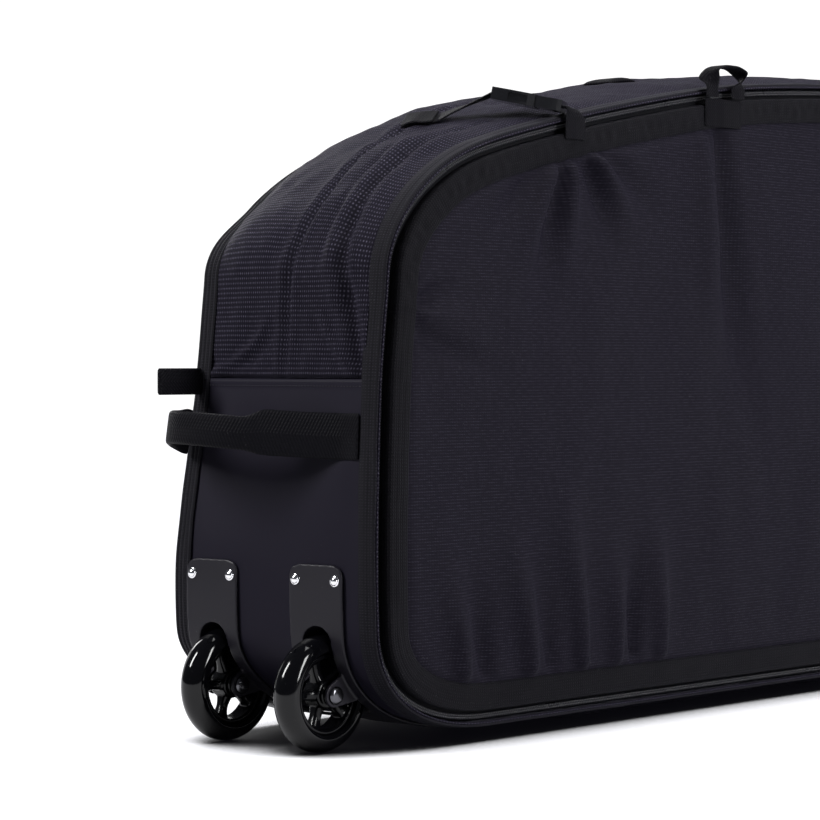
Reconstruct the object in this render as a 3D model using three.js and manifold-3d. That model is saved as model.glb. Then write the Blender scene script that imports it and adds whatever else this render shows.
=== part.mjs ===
import * as THREE from 'three';
import { mergeVertices } from 'three/addons/utils/BufferGeometryUtils.js';
import Module from 'manifold-3d';

// A wheeled travel bag for one surfboard, standing on its long lower edge.
// X runs from the wheeled tail to the nose, Y from the lid (negative) to the back panel
// (positive) and Z up from the floor. All sizes are in millimetres.

const wasm = await Module();
wasm.setup();

// Driving sizes of the bag
const bagLength = 2000;
const bagHeight = 556;          // floor to the highest point of the edge seam
const seamLift = 13;            // floor to the lowest point of the edge seam
const lidEdgeY = -80;           // where the side wall ends at the lid
const backEdgeY = 92;           // where the side wall ends at the back panel
const restX = 700;              // from the tail to the middle of the flat that the bag rests on
const tailLean = 20;            // how far the back corner of the tail leans out at the bottom
const backRise = 8;             // how much higher the back panel's top edge is
const gap = 0.3;                // clearance between neighbouring pieces

// Walls
const wallThick = 4;            // padded side wall
const kickThick = 4;            // coated tail panel over its stiffener
const lidThick = 3;
const backThick = 7;
const lidPillow = 9;            // how far the lid swells out of its edge
const backPillow = 5;

// Edges and zip on the lid side
const lidBindingWide = 12.5;
const lidBindingThick = 4;
const backBindingWide = 14;
const backBindingThick = 4;
const tapeReach = 19;           // inset of the tape's inner edge
const tapeDeep = 6.5;           // tape face behind the binding's face
const tapeThick = 1.6;
const chainInset = 7.5;
const chainWide = 5;
const chainHigh = 2.4;
const flapInset = 12.5;
const flapWide = 22;
const flapProud = 4;            // flap face in front of the binding's face

// Wheels, axles and housings
const wheelDiameter = 90;
const wheelWide = 24;
const wheelSetIn = -3;          // x of the axles
const lidWheelY = -38;
const backWheelY = 65;
const wheelRoom = 4;            // clearance round the tread in its slot
const hubRadius = 31;
const hubWide = 17;
const rimThick = 3.4;
const bossRadius = 11;
const spokeCount = 5;
const spokeWide = 7;
const wheelFacets = 22;         // flats round the tyre and the rim inside it
const axleRadius = 3.7;
const axleHeadRadius = 7;
const axleHeadHigh = 3;
const plateWide = 48;
const plateThick = 2.6;
const plateTop = 144;
const plateFoot = 92;           // x where the plate ends under the bag
const plateCorner = 9;
const plateRound = 0.22;        // share of a station over which the plate's top corners turn
const wellThick = 2;
const lugThick = 3.2;
const lugRadius = 9.5;
const lugLong = 34;
const lugRoot = 17;             // half the arm's width where it meets the bag
const lugTilt = 0.35;
const lugInside = wheelWide / 2 + 1.5;
const wellReach = 42;           // depth of the well behind the tail panel
const rivetRadius = 4.5;
const rivetHigh = 2.2;
const rivetSpacing = 38;
const rivetDrop = 12;           // rivet centres below the plate's top

// Webbing and buckle
const handleWide = 35;
const gripWide = 26;
const handleThick = 2.6;
const gripThick = 6;
const handleBelowSeam = 43;     // middle of the handle below the tail's cross seam
const handleBow = 50;           // how far the handle stands off the tail
const handleSeat = 0.6;         // clearance of its sewn ends
const stubWide = 21;
const stubLong = 40;
const stubThick = 5;
const stubBelowSeam = 3;
const strapWide = 25;
const strapThick = 2;
const strapStart = { x: 152, y: 24 };
const strapEnd = { x: 224, y: -94 };
const strapFall = 26;           // how far the strap hangs down the lid's edge
const buckleWay = 0.775;        // share of the strap's way where the buckle's middle lies
const buckleOver = 13;
const buckleTilt = 0.2;
const strapEndGap = 0.9;        // clearance between the webbing's turned ends and the buckle
const buckleLong = 58;
const buckleWide = 33;
const buckleThick = 10;
const buckleWall = 2;
const prongLong = 26;
const prongWide = 4;
const socketLip = 7;            // solid end of the socket, where its webbing is held
const windowLip = 14;           // from the socket's end to the windows in its sides
const windowEnd = 6;
const tongueSlot = 4;           // length of the tongue's webbing slot, and its place from the end
const loopWide = 18;
const loopThick = 2;
const loopSpan = 46;
const loopHigh = 24;
const loopX = 430;
const patchHigh = 24;
const tabX = 400;
const tabLong = 36;
const tabWide = 30;
const tabHigh = 9;
const tabY = 4;
const tabSeat = 0.8;            // clearance under the tab's edges
const patchThick = 1.6;
const sliderX = 980;
const sliderLong = 14;
const sliderWide = 6.4;
const pullLong = 26;
const pullWide = 9;
const pullThick = 1.6;

// The edge seam seen from the lid, from the tail seam over the top, round the nose and back
// along the bottom. Points are shares of the length and of the height above the lowest seam.
// steps is the number of flat stretches, and swell how far the side wall bulges at the end.
const seamStart = [0.0015, 0.5028];
const spans = [
  { name: 'tailUpper', steps: 3, c1: [0.0025, 0.5562], c2: [0.0045, 0.6022], end: [0.0055, 0.6483], swell: 6 },
  { name: 'shoulder', steps: 8, c1: [0.0070, 0.7311], c2: [0.0310, 0.8085], end: [0.0590, 0.8416], swell: 12 },
  { name: 'topTail', steps: 7, c1: [0.0850, 0.8729], c2: [0.1500, 0.9227], end: [0.2025, 0.9540], swell: 16 },
  { name: 'topMiddle', steps: 4, c1: [0.2525, 0.9834], c2: [0.3500, 1.0000], end: [0.4300, 1.0000], swell: 16 },
  { name: 'topNose', steps: 6, c1: [0.5900, 1.0000], c2: [0.8000, 0.8600], end: [0.9300, 0.6206], swell: 12 },
  { name: 'noseUpper', steps: 4, c1: [0.9625, 0.5599], c2: [1.0000, 0.4696], end: [1.0000, 0.3591], swell: 8 },
  { name: 'noseLower', steps: 4, c1: [1.0000, 0.2670], c2: [0.9790, 0.2007], end: [0.9475, 0.1565], swell: 10 },
  { name: 'bottomNose', steps: 5, c1: [0.8750, 0.0552], c2: [0.7500, 0.0000], end: [0.6250, 0.0000], swell: seamLift },
  { name: 'bottom', steps: 2, c1: [0.4500, 0.0000], c2: [0.3000, 0.0000], end: [0.1400, 0.0000], swell: seamLift },
  { name: 'bottomTail', steps: 3, c1: [0.1200, 0.0000], c2: [0.0900, 0.0000], end: [0.0650, 0.0000], swell: 0 },
  { name: 'corner', steps: 7, c1: [0.0275, 0.0000], c2: [0.0010, 0.0497], end: [0.0000, 0.1510], swell: 0 },
  { name: 'tailLower', steps: 5, c1: [-0.0015, 0.2523], c2: [0.0000, 0.3996], end: [0.0015, 0.5028], swell: 0 },
];

const tailSeamZ = seamLift + seamStart[1] * (bagHeight - seamLift);
const handleZ = tailSeamZ - handleBelowSeam;
const stubZ = tailSeamZ - stubBelowSeam;

function ramp(value, from, to) {
  return THREE.MathUtils.smoothstep((value - from) / (to - from), 0, 1);
}

function edgeStations() {
  const tall = bagHeight - seamLift;
  const place = ([along, up]) => new THREE.Vector2(along * bagLength, seamLift + up * tall);
  const list = [];
  const marks = {};
  let from = place(seamStart);
  let swell = spans[spans.length - 1].swell;
  for (const span of spans) {
    marks[span.name] = list.length;
    const curve = new THREE.CubicBezierCurve(from, place(span.c1), place(span.c2), place(span.end));
    for (let i = 0; i < span.steps; i += 1) {
      const share = i / span.steps;
      const p = curve.getPoint(share);
      list.push({ x: p.x, z: p.y, swell: THREE.MathUtils.lerp(swell, span.swell, share) });
    }
    from = place(span.end);
    swell = span.swell;
  }
  return { list, marks };
}

const { list: lidLine, marks } = edgeStations();
const count = lidLine.length;

// The back panel's edge: it leans out at the bottom of the tail and stands higher along the top.
// Both fade in between the first and second share of the bag's height or length.
const leanFade = { fromAbove: [0.56, 0.2], fromFloor: [0.03, 0.15], fromNose: [0.1, 0.03] };
const riseFade = [0.6, 0.85];
const backLine = lidLine.map(({ x, z, swell }) => {
  const up = z / bagHeight;
  const along = x / bagLength;
  const lean = tailLean * ramp(up, ...leanFade.fromAbove) * ramp(up, ...leanFade.fromFloor)
    * ramp(along, ...leanFade.fromNose);
  const rise = backRise * ramp(up, ...riseFade);
  return { x: x - lean, z: z + rise, swell };
});

// Outward corner directions, so that offset lines stay parallel to the flats they follow.
function corners(line) {
  return line.map((p, i) => {
    const before = line[(i + count - 1) % count];
    const after = line[(i + 1) % count];
    const a = new THREE.Vector2(-(p.z - before.z), p.x - before.x).normalize();
    const b = new THREE.Vector2(-(after.z - p.z), after.x - p.x).normalize();
    const mid = a.clone().add(b).normalize();
    return mid.divideScalar(mid.dot(a));
  });
}
const lidCorners = corners(lidLine);
const backCorners = corners(backLine);

// A point of an edge line at station u, moved outwards by out.
function onLine(line, dirs, u, out) {
  const i = Math.floor(u);
  const at = (k) => {
    const j = ((k % count) + count) % count;
    return [line[j].x + dirs[j].x * out, line[j].z + dirs[j].y * out];
  };
  const [x0, z0] = at(i);
  const [x1, z1] = at(i + 1);
  const share = u - i;
  return [x0 + (x1 - x0) * share, z0 + (z1 - z0) * share];
}
const lidEdge = (u, out) => onLine(lidLine, lidCorners, u, out);
const backEdge = (u, out) => onLine(backLine, backCorners, u, out);

// Creases that run along the side wall: where they start and end by station, their share of the
// width at both ends, and their depth.
const creases = [
  { name: 'middle', from: -0.6, to: 16, startWide: 0.56, endWide: 0.72, depth: 6 },
  { name: 'lidSide', from: 0.6, to: 14, startWide: 0.12, endWide: 0.2, depth: 8 },
];
const creaseWide = 0.07;         // share of the wall's width
const restFlat = 1.6;            // how much fuller than an arch the wall under the bag is
const wallColumns = [0, 0.06, 0.14, 0.22, 0.34, 0.47, 0.57, 0.67, 0.82, 0.94, 1];

function stationRelief(i, wide) {
  const arch = Math.sin(Math.PI * wide);
  const profile = i >= marks.bottomNose ? Math.min(1, restFlat * arch) : arch;
  let relief = lidLine[i % count].swell * profile;
  for (const crease of creases) {
    const along = (i - crease.from) / (crease.to - crease.from);
    if (along <= 0 || along >= 1) continue;
    const centre = THREE.MathUtils.lerp(crease.startWide, crease.endWide, along);
    const fade = Math.sin(Math.PI * along) ** 0.5;
    relief -= crease.depth * fade * Math.exp(-(((wide - centre) / creaseWide) ** 2));
  }
  return relief;
}
function wallRelief(u, wide) {
  const i = Math.floor(u);
  return THREE.MathUtils.lerp(stationRelief(i, wide), stationRelief(i + 1, wide), u - i);
}

// A point of the side wall: station u, share of the width from lid to back, height above it.
function onWall(u, wide, out) {
  const [x0, z0] = lidEdge(u, out);
  const [x1, z1] = backEdge(u, out);
  return [x0 + (x1 - x0) * wide, lidEdgeY + (backEdgeY - lidEdgeY) * wide, z0 + (z1 - z0) * wide];
}
const wideAt = (y) => (y - lidEdgeY) / (backEdgeY - lidEdgeY);

// A closed body from its points and faces, with the faces turned outwards.
function closedBody(points, faces) {
  const at = (k) => new THREE.Vector3(...points[k]);
  let volume = 0;
  for (const [a, b, c] of faces) volume += at(a).dot(at(b).cross(at(c)));
  const turned = volume < 0 ? faces.map(([a, b, c]) => [a, c, b]) : faces;
  const shape = new THREE.BufferGeometry();
  shape.setAttribute('position', new THREE.Float32BufferAttribute(points.flat(), 3));
  shape.setIndex(turned.flat());
  return shape;
}

// Joins sections of equal point count, each a list of points round it, into one closed body.
// The quads of both sides of a section are split along the same diagonal, so that one wall's
// outside fits the next one's inside.
// A closed loft runs on from its last section to its first. The ends of a sheet's sections are
// closed by strips between their two sides, and others by a fan.
function loft(sections, { closed = false, sheet = false } = {}) {
  const around = sections[0].length;
  const faces = [];
  const rows = closed ? sections.length : sections.length - 1;
  for (let i = 0; i < rows; i += 1) {
    const near = i * around;
    const far = ((i + 1) % sections.length) * around;
    for (let j = 0; j < around; j += 1) {
      const k = (j + 1) % around;
      if (j < around / 2) faces.push([near + j, near + k, far + k], [near + j, far + k, far + j]);
      else faces.push([near + j, near + k, far + j], [near + k, far + k, far + j]);
    }
  }
  const last = (sections.length - 1) * around;
  const strips = sheet ? around / 2 - 1 : 0;
  for (let j = 0; !closed && j < strips; j += 1) {
    const [a, b, c, d] = [j, j + 1, around - 2 - j, around - 1 - j];
    faces.push([a, c, b], [a, d, c], [last + a, last + b, last + c], [last + a, last + c, last + d]);
  }
  for (let j = 1; !closed && !sheet && j < around - 1; j += 1) {
    faces.push([0, j + 1, j], [last, last + j, last + j + 1]);
  }
  return closedBody(sections.flat(), faces);
}

// A wall sheet between two stations, thick inwards from out, with relief where asked.
function wallSheet(stations, columns, out, thick, relief) {
  const sections = stations.map((u) => {
    const lift = (wide) => (relief ? wallRelief(u, wide) : 0);
    const outer = columns.map((wide) => onWall(u, wide, out + lift(wide)));
    const inner = columns.map((wide) => onWall(u, wide, out + lift(wide) - thick));
    return [...outer, ...inner.reverse()];
  });
  return loft(sections, { sheet: true });
}

// A ring that follows an edge line, with a four-cornered section of insets and y values.
function edgeRing(edge, [insetOut, insetIn], [yLow, yHigh]) {
  const sections = lidLine.map((_, u) => {
    const [xo, zo] = edge(u, -insetOut);
    const [xi, zi] = edge(u, -insetIn);
    return [[xo, yLow, zo], [xo, yHigh, zo], [xi, yHigh, zi], [xi, yLow, zi]];
  });
  return loft(sections, { closed: true });
}

// A webbing strip along a path. Each row holds the strip's middle, a half vector of its width
// and its thickness.
function ribbon(rows) {
  return loft(rows.map(({ at, across, thick }, i) => {
    const ahead = rows[Math.min(i + 1, rows.length - 1)].at;
    const behind = rows[Math.max(i - 1, 0)].at;
    const up = across.clone().cross(ahead.clone().sub(behind)).normalize().multiplyScalar(thick / 2);
    const corner = (s, t) => at.clone().addScaledVector(across, s).addScaledVector(up, t).toArray();
    return [corner(-1, -1), corner(1, -1), corner(1, 1), corner(-1, 1)];
  }));
}

function toSolid(shape) {
  const bare = shape.clone();
  for (const name of ['normal', 'uv']) bare.deleteAttribute(name);
  const merged = mergeVertices(bare, 1e-4);
  const body = new wasm.Manifold(new wasm.Mesh({
    numProp: 3,
    vertProperties: Float32Array.from(merged.attributes.position.array),
    triVerts: Uint32Array.from(merged.index.array),
  }));
  return body;
}

function fromSolid(body) {
  const mesh = body.getMesh();
  const shape = new THREE.BufferGeometry();
  const points = new Float32Array(mesh.numVert * 3);
  for (let i = 0; i < mesh.numVert; i += 1) {
    for (let k = 0; k < 3; k += 1) points[3 * i + k] = mesh.vertProperties[mesh.numProp * i + k];
  }
  shape.setAttribute('position', new THREE.BufferAttribute(points, 3));
  shape.setIndex([...mesh.triVerts]);
  return shape;
}

// A solid bounded by an edge line moved inwards by inset, between two y values.
function edgeBlock(edge, inset, yLow, yHigh) {
  const shape = new THREE.Shape(lidLine.map((_, u) => new THREE.Vector2(...edge(u, -inset))));
  const block = new THREE.ExtrudeGeometry(shape, { depth: yHigh - yLow, bevelEnabled: false });
  return toSolid(block.rotateX(Math.PI / 2).translate(0, yHigh, 0));
}

// Folds of the lid: a straight ridge (positive) or valley between two places given as shares of
// length and height, with its width and height in millimetres.
const lidFolds = [
  { name: 'gatherFarLeft', from: [0.108, 0.86], to: [0.066, 0.71], wide: 15, high: -5 },
  { name: 'gatherLeft', from: [0.110, 0.86], to: [0.090, 0.66], wide: 12, high: 5 },
  { name: 'gatherMiddle', from: [0.112, 0.86], to: [0.112, 0.66], wide: 11, high: -5 },
  { name: 'gatherRight', from: [0.116, 0.86], to: [0.142, 0.70], wide: 14, high: 5 },
  { name: 'gatherFarRight', from: [0.120, 0.86], to: [0.170, 0.76], wide: 14, high: -5 },
  { name: 'tailCreaseUpper', from: [0.018, 0.60], to: [0.048, 0.63], wide: 12, high: -6 },
  { name: 'tailCreaseLower', from: [0.018, 0.575], to: [0.080, 0.52], wide: 14, high: 5 },
  { name: 'footFoldTail', from: [0.050, 0.22], to: [0.046, 0.07], wide: 16, high: 5 },
  { name: 'footFoldSecond', from: [0.078, 0.22], to: [0.070, 0.07], wide: 16, high: -5 },
  { name: 'footFoldThird', from: [0.154, 0.22], to: [0.148, 0.08], wide: 16, high: 6 },
  { name: 'footFoldFourth', from: [0.170, 0.25], to: [0.182, 0.09], wide: 16, high: -6 },
  { name: 'sideFold', from: [0.214, 0.84], to: [0.220, 0.60], wide: 20, high: -7 },
];

function lidRelief(x, z) {
  const tall = bagHeight - seamLift;
  const lidIn = flapInset + flapWide;
  const along = (2 * x - bagLength) / (bagLength - 2 * lidIn);
  const up = (2 * (z - seamLift) - tall) / (tall - 2 * lidIn);
  let relief = lidPillow * Math.max(0, 1 - along ** 6) * Math.max(0, 1 - up ** 4);
  const here = new THREE.Vector3(x, 0, z);
  for (const { from, to, wide, high } of lidFolds) {
    const a = new THREE.Vector3(from[0] * bagLength, 0, seamLift + from[1] * tall);
    const b = new THREE.Vector3(to[0] * bagLength, 0, seamLift + to[1] * tall);
    const line = new THREE.Line3(a, b);
    const nearest = line.closestPointToPoint(here, true, new THREE.Vector3());
    relief += high * Math.exp(-((nearest.distanceTo(here) / wide) ** 2));
  }
  return relief;
}

// A panel sheet over the whole side view, cut to an edge line. face gives its outer y at a place.
function panel(edge, inset, xs, zs, outerY, innerY) {
  const sections = xs.map((x) => {
    const outer = zs.map((z) => [x, outerY(x, z), z]);
    const inner = zs.map((z) => [x, innerY(x, z), z]);
    return [...outer, ...inner.reverse()];
  });
  const slab = toSolid(loft(sections, { sheet: true }));
  const reach = bagLength;
  return slab.intersect(edgeBlock(edge, inset, -reach, reach));
}

function steps(from, to, number) {
  return Array.from({ length: number + 1 }, (_, i) => from + (to - from) * i / number);
}

const colours = {
  ripstop: 0x1b1922, weave: 0x201e29, coated: 0x24222e, binding: 0x0e0d12, webbing: 0x0c0b10,
  plate: 0x2c2b32, tyre: 0x08080a, hub: 0x0b0b0e, steel: 0xb8bac0, buckle: 0x101013, chain: 0x1a1a1e,
};
function finish(colour, roughness, metalness = 0) {
  return new THREE.MeshStandardMaterial({ color: colour, roughness, metalness });
}
const finishes = {
  ripstop: finish(colours.ripstop, 0.75),
  weave: finish(colours.weave, 0.7),
  coated: finish(colours.coated, 0.55),
  binding: finish(colours.binding, 0.85),
  webbing: finish(colours.webbing, 0.8),
  plate: finish(colours.plate, 0.5),
  tyre: finish(colours.tyre, 0.12),
  hub: finish(colours.hub, 0.25),
  steel: finish(colours.steel, 0.2, 1),
  buckle: finish(colours.buckle, 0.3),
  chain: finish(colours.chain, 0.45),
};

const bag = new THREE.Group();
function add(name, shape, material, parent = bag) {
  const mesh = new THREE.Mesh(shape, material);
  mesh.name = name;
  parent.add(mesh);
  return mesh;
}

const range = (from, to) => Array.from({ length: to - from + 1 }, (_, i) => from + i);
const seamGap = 0.02;           // share of a station left open at a cross seam

// Side walls: heavy weave over the shoulder, the top and half the nose, a plainer one below,
// and the coated tail panel round the bottom corner.
const wallEnds = (list) => [list[0] + seamGap, ...list.slice(1, -1), list[list.length - 1] - seamGap];
function makeWalls() {
  const upper = wallEnds(range(0, marks.noseLower));
  const lower = wallEnds(range(marks.noseLower, marks.corner));
  add('upper_side_wall', wallSheet(upper, wallColumns, 0, wallThick, true), finishes.weave);
  add('lower_side_wall', wallSheet(lower, [0, 0.1, 0.24, 0.5, 0.76, 0.9, 1], 0, wallThick, true), finishes.weave);
}

// The clearance that a wheel's slot cuts, round its axle, with the tread's rounded outline.
function wheelSpace(extra) {
  const outer = wheelDiameter / 2 + wheelRoom + extra;
  const half = wheelWide / 2 + 1.5 + extra;
  const tread = steps(-Math.PI / 2, Math.PI / 2, 6)
    .map((turn) => new THREE.Vector2(outer - half + half * Math.cos(turn), half * Math.sin(turn)));
  return new THREE.LatheGeometry([new THREE.Vector2(0, -half), ...tread, new THREE.Vector2(0, half)], 22);
}

function wheelCentre(y) {
  return new THREE.Vector3(wheelSetIn, y, wheelDiameter / 2);
}

const wheels = [
  { side: 'lid_side', y: lidWheelY },
  { side: 'back_side', y: backWheelY },
];

// Stations of the tail from the plate's foot under the bag up to its top edge.
function stationAtHeight(wide, z, first, last) {
  for (let u = first; u < last; u += 0.01) {
    if (onWall(u, wide, 0)[2] >= z) return u;
  }
  return last;
}
function stationAtX(x, first, last) {
  for (let u = first; u < last; u += 0.01) {
    if (onWall(u, 0, 0)[0] <= x) return u;
  }
  return last;
}

// A four-cornered section of the tail at station u, between two shares of the width and two heights.
function tailSection(u, low, high, outer, inner) {
  return [onWall(u, low, outer), onWall(u, high, outer), onWall(u, high, inner), onWall(u, low, inner)];
}

// One axle lug, an arm from the axle into the corner of the bag, from low upwards in y.
function lug(centre, low) {
  const root = new THREE.Vector2(lugLong * Math.cos(lugTilt), lugLong * Math.sin(lugTilt));
  const side = new THREE.Vector2(-Math.sin(lugTilt), Math.cos(lugTilt));
  const arm = new THREE.Shape();
  arm.absarc(0, 0, lugRadius, lugTilt + Math.PI / 2, lugTilt + 3 * Math.PI / 2, false);
  arm.lineTo(root.x - side.x * lugRoot, root.y - side.y * lugRoot);
  arm.lineTo(root.x + side.x * lugRoot, root.y + side.y * lugRoot);
  const block = new THREE.ExtrudeGeometry(arm, { depth: lugThick, bevelEnabled: false, curveSegments: 10 });
  return block.rotateX(Math.PI / 2).translate(centre.x, centre.y + low + lugThick, centre.z);
}

function makeTail() {
  const foot = stationAtX(plateFoot, marks.corner, count);
  const tops = wheels.map(({ y }) => stationAtHeight(wideAt(y), plateTop, marks.tailLower, count));
  const extra = [foot, ...tops, ...tops.map((top) => top - plateRound)];
  const all = [...wallEnds(range(marks.corner, count)), ...extra].sort((a, b) => a - b);
  const edges = wheels.flatMap(({ y }) => [wideAt(y - plateWide / 2), wideAt(y + plateWide / 2)]);
  let tail = toSolid(wallSheet(all, [0, ...edges, 1], 0, kickThick, false));
  wheels.forEach(({ side, y }, i) => {
    const centre = wheelCentre(y);
    const cutter = toSolid(wheelSpace(wellThick + gap).translate(centre.x, centre.y, centre.z));
    tail = tail.subtract(cutter);

    const inner = toSolid(wheelSpace(0).translate(centre.x, centre.y, centre.z));
    const outer = toSolid(wheelSpace(wellThick).translate(centre.x, centre.y, centre.z));
    const top = tops[i];
    const rows = all.filter((u) => u >= foot && u <= top);
    const [low, high] = [wideAt(y - plateWide / 2), wideAt(y + plateWide / 2)];
    const face = gap + plateThick;
    const taper = wideAt(lidEdgeY + plateCorner);
    let housing = toSolid(loft(rows.map((u) => {
      const cut = u === top ? taper : 0;
      return tailSection(u, low + cut, high - cut, face, gap);
    })));
    const inside = toSolid(loft(rows.map((u) => tailSection(u, low, high, face, -wellReach))));
    housing = housing.add(outer.intersect(inside));

    const core = toSolid(loft(rows.map((u) => tailSection(u, 0, 1, gap + plateThick / 2, -wellReach))));
    for (const way of [-1, 1]) {
      const low = way > 0 ? lugInside : -lugInside - lugThick;
      housing = housing.add(toSolid(lug(centre, low)).subtract(core));
    }
    const bore = new THREE.CylinderGeometry(axleRadius + gap, axleRadius + gap, 2 * wheelDiameter, 20);
    housing = housing.subtract(inner).subtract(toSolid(bore.translate(centre.x, centre.y, centre.z)));
    for (const way of [-1, 1]) {
      const headRoom = new THREE.CylinderGeometry(axleHeadRadius + gap, axleHeadRadius + gap, plateWide, 20);
      const out = way * (lugInside + lugThick + plateWide / 2);
      housing = housing.subtract(toSolid(headRoom.translate(centre.x, centre.y + out, centre.z)));
    }
    add(`wheel_housing_${side}`, fromSolid(housing), finishes.plate);
  });
  add('tail_panel', fromSolid(tail), finishes.coated);
}

const lidFaceY = lidEdgeY - gap - lidBindingWide;
const flapFaceY = lidFaceY - flapProud;
const tapeFaceY = lidFaceY + tapeDeep;
const chainFaceY = tapeFaceY - gap - chainHigh;

// Bindings of both edges, and the zip that closes the lid: tape, chain and the padded flap.
function makeEdges() {
  const lidBack = lidEdgeY - gap;
  add('lid_binding', edgeRing(lidEdge, [0, lidBindingThick], [lidFaceY, lidBack]), finishes.binding);
  const backFace = backEdgeY + gap;
  add('back_binding', edgeRing(backEdge, [0, backBindingThick], [backFace, backFace + backBindingWide]),
    finishes.binding);
  add('zip_tape', edgeRing(lidEdge, [lidBindingThick + gap, tapeReach], [tapeFaceY, tapeFaceY + tapeThick]),
    finishes.binding);
  const chainHalf = chainWide / 2;
  add('zip_chain', edgeRing(lidEdge, [chainInset - chainHalf, chainInset + chainHalf],
    [chainFaceY, tapeFaceY - gap]), finishes.chain);
  const flap = lidLine.map((_, u) => [
    [flapInset, tapeFaceY - gap], [flapInset, flapFaceY], [flapInset + flapWide, flapFaceY],
    [flapInset + flapWide, flapFaceY + lidThick], [flapInset + lidThick, flapFaceY + lidThick],
    [flapInset + lidThick, tapeFaceY - gap],
  ].map(([inset, y]) => {
    const [x, z] = lidEdge(u, -inset);
    return [x, y, z];
  }));
  add('zip_flap', loft(flap, { closed: true }), finishes.binding);
}

function makePanels() {
  const edgeY = flapFaceY + lidThick / 2;
  const lidY = (x, z) => edgeY - lidRelief(x, z);
  const tailXs = steps(0, 0.23 * bagLength, 19);
  const noseXs = steps(0.23 * bagLength, bagLength, 7).slice(1);
  const zs = steps(seamLift, bagHeight, 11);
  const lid = panel(lidEdge, flapInset + flapWide + gap, [...tailXs, ...noseXs], zs,
    lidY, (x, z) => lidY(x, z) + lidThick);
  add('lid_panel', fromSolid(lid), finishes.ripstop);

  const backY = backEdgeY + gap + backBindingWide - backPillow / 2;
  const swell = (x, z) => backY + backPillow * Math.sin(Math.PI * x / bagLength)
    * Math.sin(Math.PI * (z - seamLift) / (bagHeight + backRise - seamLift));
  const back = panel(backEdge, backBindingThick + gap, steps(-2 * tailLean, bagLength, 10),
    steps(0, bagHeight + 2 * backRise, 4), swell, (x, z) => swell(x, z) - backThick);
  add('back_panel', fromSolid(back), finishes.weave);
}

function lathe(profile, turns) {
  return new THREE.LatheGeometry(profile.map(([r, h]) => new THREE.Vector2(r, h)), turns);
}

function makeWheel(side, y) {
  const wheel = new THREE.Group();
  wheel.position.copy(wheelCentre(y));
  bag.add(wheel);

  const half = wheelWide / 2;
  const bead = hubRadius + gap;
  const tread = steps(-Math.PI / 2, Math.PI / 2, 6)
    .map((turn) => [wheelDiameter / 2 - half + half * Math.cos(turn), half * Math.sin(turn)]);
  const beadHalf = hubWide / 2 + 1;
  const tyre = [[bead, -beadHalf], ...tread, [bead, beadHalf], [bead, -beadHalf]];
  add(`wheel_tyre_${side}`, lathe(tyre, wheelFacets), finishes.tyre, wheel);

  const rimHalf = hubWide / 2;
  const rimIn = hubRadius - rimThick;
  const bore = axleRadius + gap;
  const bossHalf = lugInside - gap;
  const ring = (inner, outer, reach, turns) => toSolid(lathe(
    [[inner, -reach], [outer, -reach], [outer, reach], [inner, reach], [inner, -reach]], turns));
  let hub = ring(rimIn, hubRadius, rimHalf, wheelFacets);
  for (let i = 0; i < spokeCount; i += 1) {
    const long = rimIn - bossRadius + rimThick;
    const spoke = new THREE.BoxGeometry(long, hubWide * 0.6, spokeWide);
    spoke.translate(bossRadius - rimThick / 2 + long / 2, 0, 0).rotateY(2 * Math.PI * (i + 0.5) / spokeCount);
    hub = hub.add(toSolid(spoke));
  }
  hub = hub.add(toSolid(lathe([[0, -rimHalf], [bossRadius, -rimHalf], [bossRadius, rimHalf], [0, rimHalf]], 12)));
  hub = hub.add(toSolid(lathe([[0, -bossHalf], [lugRadius * 0.7, -bossHalf], [lugRadius * 0.7, bossHalf],
    [0, bossHalf]], 12)));
  hub = hub.subtract(toSolid(lathe([[0, -wheelWide], [bore, -wheelWide], [bore, wheelWide], [0, wheelWide]], 16)));
  add(`wheel_hub_${side}`, fromSolid(hub), finishes.hub, wheel);

  const headFoot = lugInside + lugThick + gap;
  const crown = headFoot + axleHeadHigh;
  const rim = headFoot + axleHeadHigh * 0.35;
  const side1 = [[0, crown], [axleHeadRadius * 0.6, crown - axleHeadHigh * 0.12], [axleHeadRadius, rim],
    [axleHeadRadius, headFoot], [axleRadius, headFoot]];
  const profile = [...side1.map(([r, h]) => [r, -h]), ...side1.reverse()];
  add(`axle_${side}`, lathe(profile, 10), finishes.steel, wheel);
}

function makeRivets() {
  for (const { side, y } of wheels) {
    [-1, 1].forEach((way, i) => {
      const wide = wideAt(y + way * rivetSpacing / 2);
      const u = stationAtHeight(wide, plateTop - rivetDrop, marks.tailLower, count);
      const seat = plateThick + 2 * gap;
      const at = new THREE.Vector3(...onWall(u, wide, seat));
      const up = new THREE.Vector3(...onWall(u + 0.1, wide, seat)).sub(at);
      const across = new THREE.Vector3(...onWall(u, wide + 0.02, seat)).sub(at);
      const dome = steps(0, Math.PI / 2, 4)
        .map((turn) => [rivetRadius * Math.cos(turn), rivetHigh * Math.sin(turn)]);
      const rivet = add(`rivet_${side}_${i + 1}`, lathe([[0, 0], ...dome], 10), finishes.steel);
      rivet.position.copy(at);
      const outward = up.cross(across).normalize();
      if (outward.x > 0) outward.negate();
      rivet.quaternion.setFromUnitVectors(new THREE.Vector3(0, 1, 0), outward);
    });
  }
}

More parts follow.
